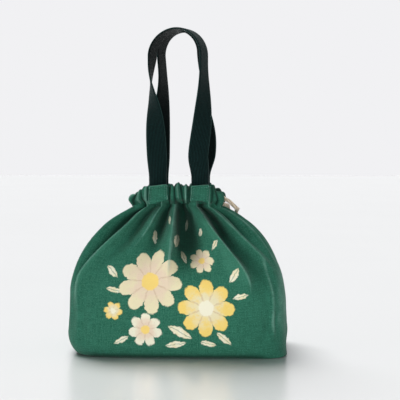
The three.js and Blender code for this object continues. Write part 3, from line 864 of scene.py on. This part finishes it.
def knot_piece():
    """A barrel knot: the cord wound round the two tails, with its ends tucked in."""
    share = np.linspace(0, 1, KNOT_STEPS)
    angle = 2 * math.pi * KNOT_TURNS * share + KNOT_PHASE
    tuck = smoothstep(np.minimum(share, 1 - share), 0, KNOT_TUCK)
    reach = lerp(KNOT_CORE, (KNOT_WIDTH - CORD_DIAMETER) / 2, tuck)
    height = (KNOT_HEIGHT / 2 - KNOT_MARGIN) * (1 - 2 * share) + KNOT_SLANT * np.sin(angle)
    middle = KNOT_TOP - np.array([0, 0, GAP + KNOT_HEIGHT / 2])
    path = middle + np.stack([reach * np.cos(angle), reach * np.sin(angle), height], -1)
    return swept("drawstring_knot_wrap", path, CORD_DIAMETER / 2)


def cord_end(name, x):
    """A cut end below the knot: a laid length that loosens into three frayed strands."""
    share = np.linspace(0, 1, END_STEPS)
    top = KNOT_TOP[2] - GAP - END_HIDDEN
    height = lerp(top, top - KNOT_HEIGHT - CORD_ENDS + FRAY_LENGTH, share)
    path = np.stack([x + 0 * share, KNOT_TOP[1] + 0 * share, height], -1)
    piece = swept(name, path, CORD_DIAMETER / 2 * lerp(1, END_TAPER, smoothstep(share, *END_TAPERS)))
    fray = np.linspace(0, 1, FRAY_STEPS)
    for strand in range(ROPE_LOBES):
        angle = 2 * math.pi * strand / ROPE_LOBES + x
        points = path[-1] + np.outer(FRAY_REACH * (1 + fray ** 1.5), (math.cos(angle), math.sin(angle), 0))
        points[:, 2] += FRAY_START - FRAY_DROP * fray
        tip = swept(f"{name}_strand_{strand + 1}", points, lerp(*FRAY_RADII, fray ** 2), **FRAY_ROPE)
        finish_piece(tip, CORD, body=None)
        tip.parent = piece
    return piece


knot = finish_piece(knot_piece(), CORD, ["drawstring_knot"], "drawstring")
for name, side, route in (("front", -1, FRONT_ROUTE), ("rear", 1, REAR_ROUTE)):
    exit_point, corners = tail_points(side, route)
    path = relaxed(spline(corners, TAIL_STEPS))
    end = cord_end(f"{name}_drawstring_end", corners[-1][0])
    finish_piece(end, CORD, [f"{name}_cord_end"], "drawstring")
    tail = swept(f"{name}_drawstring_tail", path, CORD_DIAMETER / 2)
    finish_piece(tail, CORD, [f"{name}_tail"], None)
    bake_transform(tail)

# Outer panels, with painted shade in the folds, wear on the crests that is partly a painted highlight, and
# painted light on the right side

# Wear on the panels' crests, which is partly a painted highlight
FULL_WEAR_HIGHLIGHT, PANEL_WEAR_HIGHLIGHT = 0.5, 0.7
FULL_SHADE, FULL_LIGHT, LOW_SHADE, SHADE_GROWS = 9, 5, 0.55, (98, 136)
BASE_SHADE, SHADE_MIDDLE, SHADE_RISE, SHADE_REACH = 0.8, 2, (1, 8), (76, 100)
# Painted light on the bag's right side, where grazing light falls, added to the crest wear
SIDE_LIGHT, SIDE_LIGHT_RIGHT, SIDE_LIGHT_BACK = 0.56, (94, 103), (-30, 50)
SIDE_LIGHT_STARTS, SIDE_LIGHT_ENDS = (4, 44), (76, 124)


def panel_shading(points, lift, pitch):
    """How deep in a fold each point lies, for painted shade and a painted highlight, with painted shade along
    the bottom edge, and its crest wear, partly a painted highlight, with painted light on the right side.
    """
    x, y, height = np.moveaxis(points, -1, 0)
    deepening = lerp(LOW_SHADE, 1, smoothstep(height, *SHADE_GROWS))
    fold = np.where(lift < 0, lift / FULL_SHADE * deepening, lift / FULL_LIGHT)
    under = 1 - smoothstep(np.abs(x - SHADE_MIDDLE), *SHADE_REACH)
    under = under * (1 - smoothstep(height, *SHADE_RISE))
    curve = -np.gradient(np.gradient(lift, axis=0), axis=0) / pitch ** 2
    painted_side_light = SIDE_LIGHT * smoothstep(x, *SIDE_LIGHT_RIGHT) * (1 - smoothstep(y, *SIDE_LIGHT_BACK))
    painted_side_light = painted_side_light * between(height, SIDE_LIGHT_STARTS, SIDE_LIGHT_ENDS)
    return {
        "fold": np.clip(fold - BASE_SHADE * under, -1, 1),
        "wear_and_highlight": PANEL_WEAR_HIGHLIGHT * np.clip(curve / FULL_WEAR_HIGHLIGHT, 0, 1) + painted_side_light,
    }


for side in SIDES:
    points, lift, uv = panel_points(side)
    shading = panel_shading(points, lift, uv[1, 0, 0] - uv[0, 0, 0])
    panel = shell_mesh(f"{side}_canvas", points, points - grid_normals(points) * CLOTH_THICKNESS, uv, shading)
    finish_piece(panel, PRINTED_CANVAS if side == "front" else CANVAS, [f"{side}_panel"])
    cut = (np.ptp(uv[..., 0]) * MM, uv[..., 1].max() * MM)

# Base, board and linings

PLATE_COLUMNS, PLATE_ROWS, ROLL_ROWS, PLATE_HUB = 160, 14, 5, 0.02
# Each flat piece's distance inside the cloth's edge, bottom, top and rolled edge
BASE_SIZES, BASE_LINING_SIZES, BOARD_SIZES = (0.9, 0, 1.5, 0.7), (5, 4.5, 5.5, 0.5), (3, 1.8, 4.3, 0.6)
LINING_COLUMNS, LINING_ROWS, LINING_START = 121, 60, 0.035
LINING_INSET, LINING_THICKNESS = 4.4, 0.6


def plate(name, inset, low, high, roll):
    """A closed sheet with a rolled edge that follows the base's outline, and its flat size."""
    angles = np.linspace(0, 2 * math.pi, PLATE_COLUMNS, endpoint=False)
    edge = smooth_wall(angles, 0 * angles, bottom=CLOTH_BOTTOM, **toe_shape(angles, inset))[:, :2]
    out = np.linspace(PLATE_HUB, 1, PLATE_ROWS)
    shares = np.concatenate([out, np.ones(ROLL_ROWS), out[::-1]])
    turn = np.linspace(-math.pi / 2, math.pi / 2, ROLL_ROWS + 2)[1:-1]
    bulge = np.pad(np.cos(turn) * roll, PLATE_ROWS)
    height = lerp(low, high, (1 + np.pad(np.sin(turn), PLATE_ROWS, constant_values=(-1, 1))) / 2)
    reach = np.linalg.norm(edge, axis=-1, keepdims=True)
    flat = (edge / reach)[:, None] * (shares * (reach - roll) + bulge)[..., None]
    points = np.concatenate([flat, np.broadcast_to(height[:, None], flat.shape[:2] + (1,))], -1)
    rows = len(shares)
    faces = quads(PLATE_COLUMNS, rows, loop_columns=True)
    faces += [[column * rows + row for column in range(PLATE_COLUMNS)] for row in (0, rows - 1)]
    piece = outward(add_mesh(name, points, faces, flat, {"fold": np.zeros(flat.shape[:2])}))
    return piece, tuple(np.ptp(edge, axis=0) * MM)


base, base_cut = plate("base_canvas", *BASE_SIZES)
finish_piece(base, CANVAS, ["base_panel"])
base_lining, base_lining_cut = plate("base_lining_cotton", *BASE_LINING_SIZES)
finish_piece(base_lining, COTTON_LINING, ["base_lining"])
board, _ = plate("stiff_base_board", *BOARD_SIZES)
finish_piece(board, BOARD, ["base_board"])
for side in SIDES:
    angles, along = even_columns(side, LINING_COLUMNS)
    angle, level = np.meshgrid(angles, np.linspace(LINING_START, 1, LINING_ROWS), indexing="ij")
    wall = smooth_wall(angle, level, **toe_shape(angle))
    height = wall[..., 2]
    inward = np.minimum(folds_at(angle, height, side), 0) - LINING_INSET
    points = wall + fold_direction(angle, level, height) * inward[..., None]
    uv = np.stack(np.broadcast_arrays(along[:, None], height), -1)
    lining = shell_mesh(
        f"{side}_lining_cotton", points, points - grid_normals(points) * LINING_THICKNESS, uv
    )
    finish_piece(lining, COTTON_LINING, [f"{side}_lining"])
    climb = np.linalg.norm(np.diff(wall, axis=1), axis=-1).sum(1).max()
    cut = (run_of(points[:, 0])[-1] * MM, climb * MM)

# The gathered casing, a tube of ruffles with open ends where the cord leaves

CASING_COLUMNS, SECTION = 300, 40
CASING_SKIN = 1.2
SECTION_POWER, FOOT_POWER = 0.66, 4
SEAM_GAP = 0.004
FACE_EDGE = 6
# Ruffles of uneven height that lean and slant along the neck
CREASE_ROUND, RIDGE_HEIGHT, RIDGE_WAVES = 0.25, 0.8, [(0.2, 0.83, 0.4)]
SKEW_WAVES = [(0.5, 0.9, 0), (0.35, 0.37, 1)]
SLANT_WAVES = [(1.7, 0.21, 0.8), (0.8, 0.53, 0)]
# Beside each tab the casing lies flat, and it is pinched along the tab's edge
TAB_FLAT, TAB_FLAT_END = 8.5, 12
PINCH_AT, PINCH_WIDTH, PINCH, PINCH_SHADE = 10.4, 1.2, 1.9, 0.8
# One tall pleat between the front tabs
TALL_PLEAT_AT, TALL_PLEAT_WIDTH, TALL_OUT, TALL_UP = 2.4, 4.2, 0.8, 2.4
# The ends sink, and narrow at the seam
EXIT_RUN, EXIT_SAG = 13, 2.6
SEAM_RUN, SEAM_SAG, SEAM_NARROWS = 9, 1.8, 0.12
LEFT_DROOP, LEFT_DROOPS = 7.5, (28, 45)
RIGHT_DROOP, RIGHT_DROOPS = 4, (33, 46)
DROOP_SHARE = (-0.6, 1)
# How far the ruffles reach: out, in, up and down
REACH_OUT, RUFFLE_OUT, SINK_OUT, SKEW_OUT, LEAST_OUT = 3.9, 5, 1.6, 1.1, 2.9
REACH_IN, RUFFLE_IN, SINK_IN = 3.7, 1.9, 0.6
RUFFLE_UP, SINK_UP, SKEW_UP = 2.2, 1.8, 0.9
HEM_RISE, RUFFLE_DOWN, SINK_DOWN = 2, 0.9, 0.3
HEM_NARROWS, HEM_RUN = 0.15, (0.35, 1)
FOLD_OUT, TAB_LIFT, FREE_LIFT, FOLD_RUN = 0.35, 0.3, 4, (0.1, 1)
LEAN = 0.9
# Cloth to a millimetre of neck, and round the section
CLOTH_ALONG, CLOTH_AROUND = 2.2, 9
# Painted shade in the creases and a painted highlight on the crests; wear along the crests, partly a painted
# highlight
CREASE_GAIN, CREASE_AT, CREST_LIGHT = 1.9, 0.68, 0.6
CREST_WEAR_HIGHLIGHT = (0.78, 0.98)


def power(value, exponent):
    return np.sign(value) * np.abs(value) ** exponent


def casing_points(side):
    """The angles of one half of the casing, its outer and inner skins, its cloth places and its shading."""
    dense, places = neck_places(side)
    front = side == "front"
    ends = (math.pi + SEAM_GAP, 2 * math.pi - EXIT_ANGLE) if front else (EXIT_ANGLE, math.pi - SEAM_GAP)
    along = np.linspace(*np.interp(ends, dense, places), CASING_COLUMNS)
    angles = np.interp(along, places, dense)
    flat = neck(angles)
    normal = unit(neck(angles, 1) - flat)
    lift = folds_at(angles, gather_height(angles), side)[:, None]
    x, y = flat[:, :1], flat[:, 1:]
    column = along[:, None]
    seam_end, exit_end = (along[0], along[-1]) if front else (along[-1], along[0])
    near_exit = 1 - smoothstep(np.abs(column - exit_end), 0, EXIT_RUN)
    near_seam = 1 - smoothstep(np.abs(column - seam_end), 0, SEAM_RUN)
    from_tab = np.min([np.abs(x - place) for place in TAB_PLACES], axis=0)
    on_face = np.abs(y) > NECK_DEPTH / 2 - FACE_EDGE
    free = np.where(on_face, smoothstep(from_tab, TAB_FLAT, TAB_FLAT_END), 1)
    pinched = on_face * hump(from_tab, PINCH_AT, PINCH_WIDTH)
    tall = front * hump(column, TALL_PLEAT_AT, TALL_PLEAT_WIDTH)
    skew = waves(column, SKEW_WAVES)
    slant = waves(column, SLANT_WAVES)
    uneven = RIDGE_HEIGHT + waves(column, RIDGE_WAVES)
    # Shares out and up round the section, from -1 to 1
    around = np.linspace(-math.pi, math.pi, SECTION, endpoint=False)
    out_share = power(np.cos(around), np.where(np.sin(around) < 0, FOOT_POWER, SECTION_POWER))
    up_share = power(np.sin(around), SECTION_POWER)
    ridge = ruffles(column + slant * up_share * free, RIDGES[side], CREASE_ROUND) * uneven
    crown = ruffles(column, RIDGES[side])
    lift = np.minimum(lift, lerp(TAB_LIFT, FREE_LIFT, free))
    ruffle_out = RUFFLE_OUT * ridge - SINK_OUT + SKEW_OUT * skew * ridge + FOLD_OUT * lift
    reach_out = np.maximum(LEAST_OUT, REACH_OUT + ruffle_out * free + TALL_OUT * tall - PINCH * pinched)
    reach_out = reach_out * (1 - SEAM_NARROWS * near_seam)
    reach_in = REACH_IN + (RUFFLE_IN * (1 - ridge) - SINK_IN) * free
    hem = 1 - HEM_NARROWS * smoothstep(-up_share, *HEM_RUN)
    out = np.where(out_share > 0, reach_out, reach_in) * out_share * hem
    out = out + LEAN * skew * free * up_share + lift * smoothstep(-up_share, *FOLD_RUN)
    top = CASING_HEIGHT / 2 + (RUFFLE_UP * crown - SINK_UP + SKEW_UP * skew) * free + TALL_UP * tall
    foot = CASING_HEIGHT / 2 - HEM_RISE + (RUFFLE_DOWN * ridge - SINK_DOWN) * free
    droop = LEFT_DROOP * smoothstep(-x, *LEFT_DROOPS) + RIGHT_DROOP * smoothstep(x, *RIGHT_DROOPS)
    height = (gather_height(angles) + CASING_MIDDLE)[:, None] - EXIT_SAG * near_exit - SEAM_SAG * near_seam
    height = height + np.where(up_share > 0, top, foot) * up_share
    height = height - droop * smoothstep(up_share, *DROOP_SHARE)

    def skin(out, z):
        return np.stack([x + normal[:, :1] * out, y + normal[:, 1:] * out, z], -1)

    middle = height.mean(1, keepdims=True)
    shrink_out, shrink_up = (1 - CASING_SKIN / (size / 2) for size in (CASING_THICKNESS, CASING_HEIGHT))
    inner = skin(out * shrink_out, middle + (height - middle) * shrink_up)
    uv = np.stack(np.broadcast_arrays(column * CLOTH_ALONG, around * CLOTH_AROUND), -1)
    # Painted shade in the creases and along the pinches, and a painted highlight on the crests
    crease = np.clip(CREASE_GAIN * (ridge - CREASE_AT), -1, CREST_LIGHT) * free
    shading = {"fold": crease - PINCH_SHADE * pinched, "wear_and_highlight": smoothstep(ridge, *CREST_WEAR_HIGHLIGHT) * free}
    return angles, skin(out, height), inner, uv, shading


casing_turns, casing_middles = [], []
for side in SIDES:
    angles, outer, inner, uv, shading = casing_points(side)
    casing_turns.append(angles)
    casing_middles.append((outer[..., 2].max(1) + outer[..., 2].min(1)) / 2)
    casing = shell_mesh(f"{side}_gathered_casing", outer, inner, uv, shading, tube=True)
    finish_piece(outward(casing), CANVAS, [f"{side}_casing"])
    round_it = np.linalg.norm(outer - np.roll(outer, 1, 1), axis=-1).sum(1).mean()

# Drawstring inside the casing: it keeps to the middle where the casing droops at the left

MIDDLE_RUN, LOOP_STEPS = 31, 160
LOOP_SINKS = (10, 28)
turn_order = np.argsort(np.concatenate(casing_turns))
casing_turns = np.concatenate(casing_turns)[turn_order]
casing_middles = np.concatenate(casing_middles)[turn_order]
casing_middles = np.convolve(casing_middles, np.full(MIDDLE_RUN, 1 / MIDDLE_RUN), "same")
loop_start = EXIT_ANGLE + HIDDEN_START
loop_angles = np.linspace(loop_start, 2 * math.pi - loop_start, LOOP_STEPS)
loop_path = ring_points(loop_angles)
sinking = np.interp(loop_angles, casing_turns, casing_middles) - loop_path[:, 2]
loop_path[:, 2] += sinking * smoothstep(-loop_path[:, 0], *LOOP_SINKS)
loop = swept("drawstring_in_casing", loop_path, CORD_DIAMETER / 2)
finish_piece(loop, CORD, ["drawstring_loop"])

# Handles: one length of webbing each, from its sewn end up, over and down to the other

HANDS = (-1, 1)
LEG_STEPS, ARCH_STEPS, SEWN_STEPS, WIDTH_STEPS = 44, 40, 10, 13
BEND_Y = {"front": -14.718, "rear": 14.718}
# Each leg's sideways bow, which grows up to a height and dies away above it: (bow, height, spread)
BOWS = {
    ("front", -1): (-3.6, 0.85, 0.22), ("front", 1): (-2.4, 0.18, 0.2),
    ("rear", -1): (-5, 0.28, 0.24), ("rear", 1): (-3.2, 0.75, 0.26),
}
BOW_STARTS, BOW_FADE = (0, 0.2), 1.5
# The shares of its height where each leg starts to twist and would be fully turned
TWISTS = {
    ("front", -1): (0.2, 1.1), ("front", 1): (0.15, 0.95),
    ("rear", -1): (0.2, 1.1), ("rear", 1): (0.15, 0.88),
}
SEWN_CURL, CURL_END, LEAST_CURL = 0.85, 0.24, 1e-3
EDGE_POWER = 8


def bow(side, hand, climb):
    size, at, spread = BOWS[side, hand]
    return size * hump(climb, at, spread) * smoothstep(climb, *BOW_STARTS)


def strap_stations(side):
    """Middle points, headings across the webbing and its curl, for a handle that faces -Y."""
    radius = ARCH_RADII[side]
    shift = HANDLE_SHIFT if side == "front" else -HANDLE_SHIFT
    arch_heading = -math.pi / 2 - ARCH_TURN
    arch_start = HANDLE_TOP - radius
    sewn_length = SEWN_LENGTH + WEBBING_THICKNESS / 2 + 2 * GAP

    def leg(hand):
        step = np.arange(-SEWN_STEPS, LEG_STEPS)
        climb = np.maximum(0, step / LEG_STEPS)
        twist = smoothstep(climb, *TWISTS[side, hand]) / smoothstep(1, *TWISTS[side, hand])
        away = lerp(LEG_SPACING / 2, radius * math.cos(ARCH_TURN), smoothstep(climb, 0, SPREAD_END))
        x = shift + hand * away + bow(side, hand, climb)
        y = lerp(BEND_Y["front"], -ARCH_SETBACK - hand * radius * math.sin(ARCH_TURN), twist)
        z = lerp(BEND_HEIGHT, arch_start, climb) + sewn_length * np.minimum(0, step / SEWN_STEPS)
        heading = lerp(0 if hand < 0 else -math.pi, arch_heading, twist)
        curl = SEWN_CURL * (1 - smoothstep(climb, 0, CURL_END))
        return np.stack([x, y, z, heading, curl], -1)

    angle = np.linspace(math.pi, 0, ARCH_STEPS + 1)
    across = np.cos(angle)
    x = shift + radius * across * math.cos(ARCH_TURN)
    for hand in HANDS:
        x = x + bow(side, hand, 1) * np.maximum(0, hand * across) ** BOW_FADE
    y = -ARCH_SETBACK - radius * across * math.sin(ARCH_TURN)
    z = arch_start + radius * np.sin(angle)
    arch = np.stack([x, y, z, arch_heading + 0 * x, 0 * x], -1)
    left, right = (leg(hand) for hand in HANDS)
    stations = np.vstack([left, arch, right[::-1]])
    return stations[:, :3], stations[:, 3], np.maximum(LEAST_CURL, stations[:, 4])


def strap(side):
    middles, headings, curls = strap_stations(side)
    along = unit(np.gradient(middles, axis=0))
    across = np.stack([np.cos(headings), np.sin(headings), 0 * headings], -1)
    across = unit(across - along * (across * along).sum(1, keepdims=True))
    out = np.cross(across, along)
    width = np.linspace(-1, 1, WIDTH_STEPS)
    width = np.concatenate([width, width[-2:0:-1]])
    face = np.concatenate([np.ones(WIDTH_STEPS), -np.ones(WIDTH_STEPS - 2)])
    thick = face * WEBBING_THICKNESS / 2 * np.sqrt(1 - np.abs(width) ** EDGE_POWER)
    turn = curls[:, None] * width
    radius = WEBBING_WIDTH / 2 / curls[:, None]
    sideways = radius * np.sin(turn) + thick * np.sin(turn)
    forward = radius * (np.cos(turn) - 1) + thick * np.cos(turn)
    points = middles[:, None] + across[:, None] * sideways[..., None] + out[:, None] * forward[..., None]
    if side == "rear":
        points = points * np.array([-1, -1, 1])
    uv = np.stack(np.broadcast_arrays(width * WEBBING_WIDTH / 2, run_of(middles)[:, None]), -1)
    values = {"fold": np.broadcast_to(face, points.shape[:2])}
    faces = capped_tube(len(middles), len(width))
    return outward(add_mesh(f"{side}_webbing_handle", points, faces, uv, values))


for side in SIDES:
    handle = strap(side)
    ends = [f"{side}_left_webbing_end", f"{side}_right_webbing_end"]
    finish_piece(handle, WEBBING, [f"{side}_handle", *ends], None)
    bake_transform(handle)

# Tabs sewn over the casing in front of each strap, with their stitching

TAB_HALF_WIDTH, TAB_HALF_HEIGHT = 9.2, 8.6
TAB_RAISED, TAB_BACK = 2.2, 26.6
TAB_STEPS = 33
# Each tab's tilt along its top and its bottom, how far the middle of its lower edge is drawn up, and the
# phase of its waves
TAB_SHAPES = {
    ("front", "left"): (1.1, 2.4, 0.3, 5), ("front", "right"): (0.7, -1.5, 1.5, 7),
    ("rear", "left"): (-0.6, 1.0, 0.8, 4), ("rear", "right"): (0.5, 0.9, 0.6, 6),
}
TAB_TAPER, TAB_CORNER, CORNER_POWER = 0.035, 0.05, 12
TAB_PUFF, TAB_PAD, PAD_POWER = 1.15, 0.5, 4
# Places across and up the tab, as shares of its half: the sunk seams, the lip and the loose lower edge
SIDE_SEAM, SIDE_SEAM_WIDTH, SIDE_SEAM_DEPTH, SIDE_SEAM_END = 0.78, 0.07, 0.42, 0.95
TOP_SEAM, TOP_SEAM_WIDTH, TOP_SEAM_DEPTH = 0.66, 0.06, 0.5
LIP_AT, LIP_WIDTH, LIP_RISE = 0.86, 0.12, 0.55
LOOSE, LOOSE_RISE, LOOSE_WAVE, LOOSE_RATE = (0.4, 1), 1.8, 0.3, 2.2
LOOSE_BACK, LOOSE_BACK_RISE = (0.5, 1), 1.6
SIDE_WAVE, LOWER_WAVE = (0.3, 2.6), (0.35, 3)
RIM, RIM_DEPTH = (0.93, 1), 0.75
TAB_SKIN = 0.1
# The tab is painted lighter where it puffs out and darker in its sunk seams and rim, a painted highlight and
# painted shade; its edges and top get wear, partly a painted highlight
TAB_FOLD_AT, TAB_FOLD_GAIN, TAB_WEAR_HIGHLIGHT = 1.9, 0.5, (0.88, 0.96)
SIDE_STITCH, TOP_STITCH, STITCH_MARGIN = 0.89, 0.83, 3
STITCH_PITCH, STITCH_LENGTH, STITCH_RADIUS, STITCH_AIM = 2.4, 1.7, 0.27, 0.3
CAPSULE_AROUND, CAPSULE_ALONG, CAPSULE_TIP = 8, 6, 0.12
stitches = []


def sew(path, normal):
    """Lays stitches end to end along a path."""
    for at in np.arange(STITCH_PITCH / 2, run_of(path)[-1], STITCH_PITCH):
        spot, ahead, behind = points_at(path, [at, at + STITCH_AIM, at - STITCH_AIM])
        stitches.append((spot, unit(ahead - behind), normal))


def tab_points(place, top_tilt, bottom_tilt, drawn_up, phase):
    """A padded patch: hemmed sides, a lip along the top and a loose lower edge."""
    share = np.linspace(-1, 1, TAB_STEPS)
    w, h = np.meshgrid(share, share, indexing="ij")
    off_w, off_h = np.abs(w), np.abs(h)
    loose = smoothstep(-h, *LOOSE)
    x = TAB_HALF_WIDTH * w * (1 - TAB_TAPER * h) * (1 - TAB_CORNER * off_h ** CORNER_POWER)
    x = x + waves(h, [(*SIDE_WAVE, phase)])
    z = TAB_HALF_HEIGHT * h * (1 - TAB_CORNER * off_w ** CORNER_POWER)
    z = z + w * lerp(bottom_tilt, top_tilt, (h + 1) / 2) + drawn_up * (1 - w ** 2) * smoothstep(-h, 0, 1)
    z = z + waves(w, [(*LOWER_WAVE, phase)]) * loose
    puff = TAB_PUFF + TAB_PAD * (1 - off_w ** PAD_POWER) * (1 - off_h ** PAD_POWER)
    puff = puff - SIDE_SEAM_DEPTH * hump(off_w, SIDE_SEAM, SIDE_SEAM_WIDTH) * (off_h < SIDE_SEAM_END)
    puff = puff - TOP_SEAM_DEPTH * hump(h, TOP_SEAM, TOP_SEAM_WIDTH)
    puff = puff + LIP_RISE * hump(h, LIP_AT, LIP_WIDTH)
    puff = puff + LOOSE_RISE * loose * (1 - LOOSE_WAVE + LOOSE_WAVE * np.cos(LOOSE_RATE * w + phase))
    puff = puff - RIM_DEPTH * smoothstep(np.maximum(off_w, off_h), *RIM)
    middle = CASING_TOP - CASING_HEIGHT / 2 + TAB_RAISED
    front = np.stack([place + x, -(TAB_BACK + puff), middle + z], -1)
    back = front.copy()
    back[..., 1] = -(TAB_BACK - TAB_SKIN + LOOSE_BACK_RISE * smoothstep(-h, *LOOSE_BACK))
    wear_and_highlight = smoothstep(np.maximum(off_w, h), *TAB_WEAR_HIGHLIGHT)
    return front, back, np.stack([x, z], -1), {"fold": (puff - TAB_FOLD_AT) * TAB_FOLD_GAIN, "wear_and_highlight": wear_and_highlight}


def stitch_mesh(name):
    """All the stitches as one mesh of small capsules."""
    lon = np.linspace(0, 2 * math.pi, CAPSULE_AROUND, endpoint=False)[:, None]
    lat = np.linspace(-1, 1, CAPSULE_ALONG)[:, None, None] * (math.pi / 2 - CAPSULE_TIP)
    points, faces = [], []
    for spot, along, normal in stitches:
        faces += capped_tube(CAPSULE_ALONG, CAPSULE_AROUND, len(points) * CAPSULE_ALONG * CAPSULE_AROUND)
        ring = np.cos(lon) * normal + np.sin(lon) * unit(np.cross(along, normal))
        points.append(spot + np.cos(lat) * STITCH_RADIUS * ring + np.sin(lat) * along * STITCH_LENGTH / 2)
    return outward(add_mesh(name, np.array(points), faces))


side_row, top_row = (int(round(share * (TAB_STEPS - 1))) for share in (SIDE_STITCH, TOP_STITCH))
other_row = TAB_STEPS - 1 - side_row
for side in SIDES:
    facing = np.array([1, 1, 1]) if side == "front" else np.array([1, -1, 1])
    normal = np.array([0, -1.0, 0]) * facing
    for hand, place in zip(("left", "right"), TAB_PLACES):
        front, back, uv, values = tab_points(place, *TAB_SHAPES[side, hand])
        front, back = front * facing, back * facing
        tab = shell_mesh(f"{side}_{hand}_canvas_tab", front, back, uv, values)
        finish_piece(outward(tab), CANVAS, [f"{side}_{hand}_tab"])
        for column in (other_row, side_row):
            sew(front[column, STITCH_MARGIN:-STITCH_MARGIN], normal)
        sew(front[other_row:side_row + 1, top_row], normal)
finish_piece(stitch_mesh("tab_stitches"), THREAD)

# Stage: a pale glossy table in soft window light

FLOOR_HALF = 6
BACKDROP, SKY = rgb(241, 241, 243), rgb(246, 248, 250)
AMBIENT = 0.19
SUN_FROM = Vector((-0.3, 0.5, 1))
SUN_STRENGTH, SUN_ANGLE = 2.75, math.radians(35)
# Each lamp's name, place, aim, size, watts and spread in degrees
LAMPS = [
    ("left_fill", (-3.5, -1.4, 0.7), (0, 0, 0.12), 2, 8.4, 70),
    ("front_fill", (0.2, -2.8, 0.3), (0, 0, 0.1), 1, 0.8, 70),
    ("low_fill", (0.15, -1.1, 0.1), (0.01, 0, 0), 0.3, 0.29, 30),
]
corners = np.array([(-1, -1, 0), (1, -1, 0), (1, 1, 0), (-1, 1, 0)]) * FLOOR_HALF / MM
floor = add_mesh("table", corners, [(0, 1, 2, 3)])
floor.data.materials.append(TABLE)

# The sky lights the scene weakly, and a brighter backdrop is what the camera and reflections see
world = bpy.data.worlds.new("studio")
scene.world = world
world.use_nodes = True
tree = world.node_tree
sky = tree.nodes["Background"]
sky.inputs["Color"].default_value = SKY
sky.inputs["Strength"].default_value = AMBIENT
seen = tree.nodes.new("ShaderNodeBackground")
seen.inputs["Color"].default_value = BACKDROP
rays = tree.nodes.new("ShaderNodeLightPath")
choose = tree.nodes.new("ShaderNodeMixShader")
direct = tree.nodes.new("ShaderNodeMath")
direct.operation = "MAXIMUM"
tree.links.new(rays.outputs["Is Camera Ray"], direct.inputs[0])
tree.links.new(rays.outputs["Is Glossy Ray"], direct.inputs[1])
for socket, source in enumerate((direct, sky, seen)):
    tree.links.new(source.outputs[0], choose.inputs[socket])
tree.links.new(choose.outputs[0], tree.nodes["World Output"].inputs["Surface"])

# The lamps light the bag and leave the table's shadow as it is
off_table = bpy.data.collections.new("off_table")
off_table.objects.link(floor)
off_table.collection_objects[0].light_linking.link_state = "EXCLUDE"


def add_light(light, place, from_aim):
    """Puts a light at a place, turned to shine against the direction it comes from."""
    holder = bpy.data.objects.new(light.name, light)
    scene.collection.objects.link(holder)
    holder.location = place
    holder.rotation_euler = (-from_aim).to_track_quat("-Z", "Y").to_euler()
    holder.visible_glossy = False
    return holder


for name, place, aim, size, watts, spread in LAMPS:
    light = bpy.data.lights.new(name, "AREA")
    light.shape = "DISK"
    light.size = size
    light.energy = watts
    light.spread = math.radians(spread)
    lamp = add_light(light, place, Vector(place) - Vector(aim))
    lamp.light_linking.receiver_collection = off_table
sun = bpy.data.lights.new("window", "SUN")
sun.energy = SUN_STRENGTH
sun.angle = SUN_ANGLE
add_light(sun, (0, 0, 0), SUN_FROM)
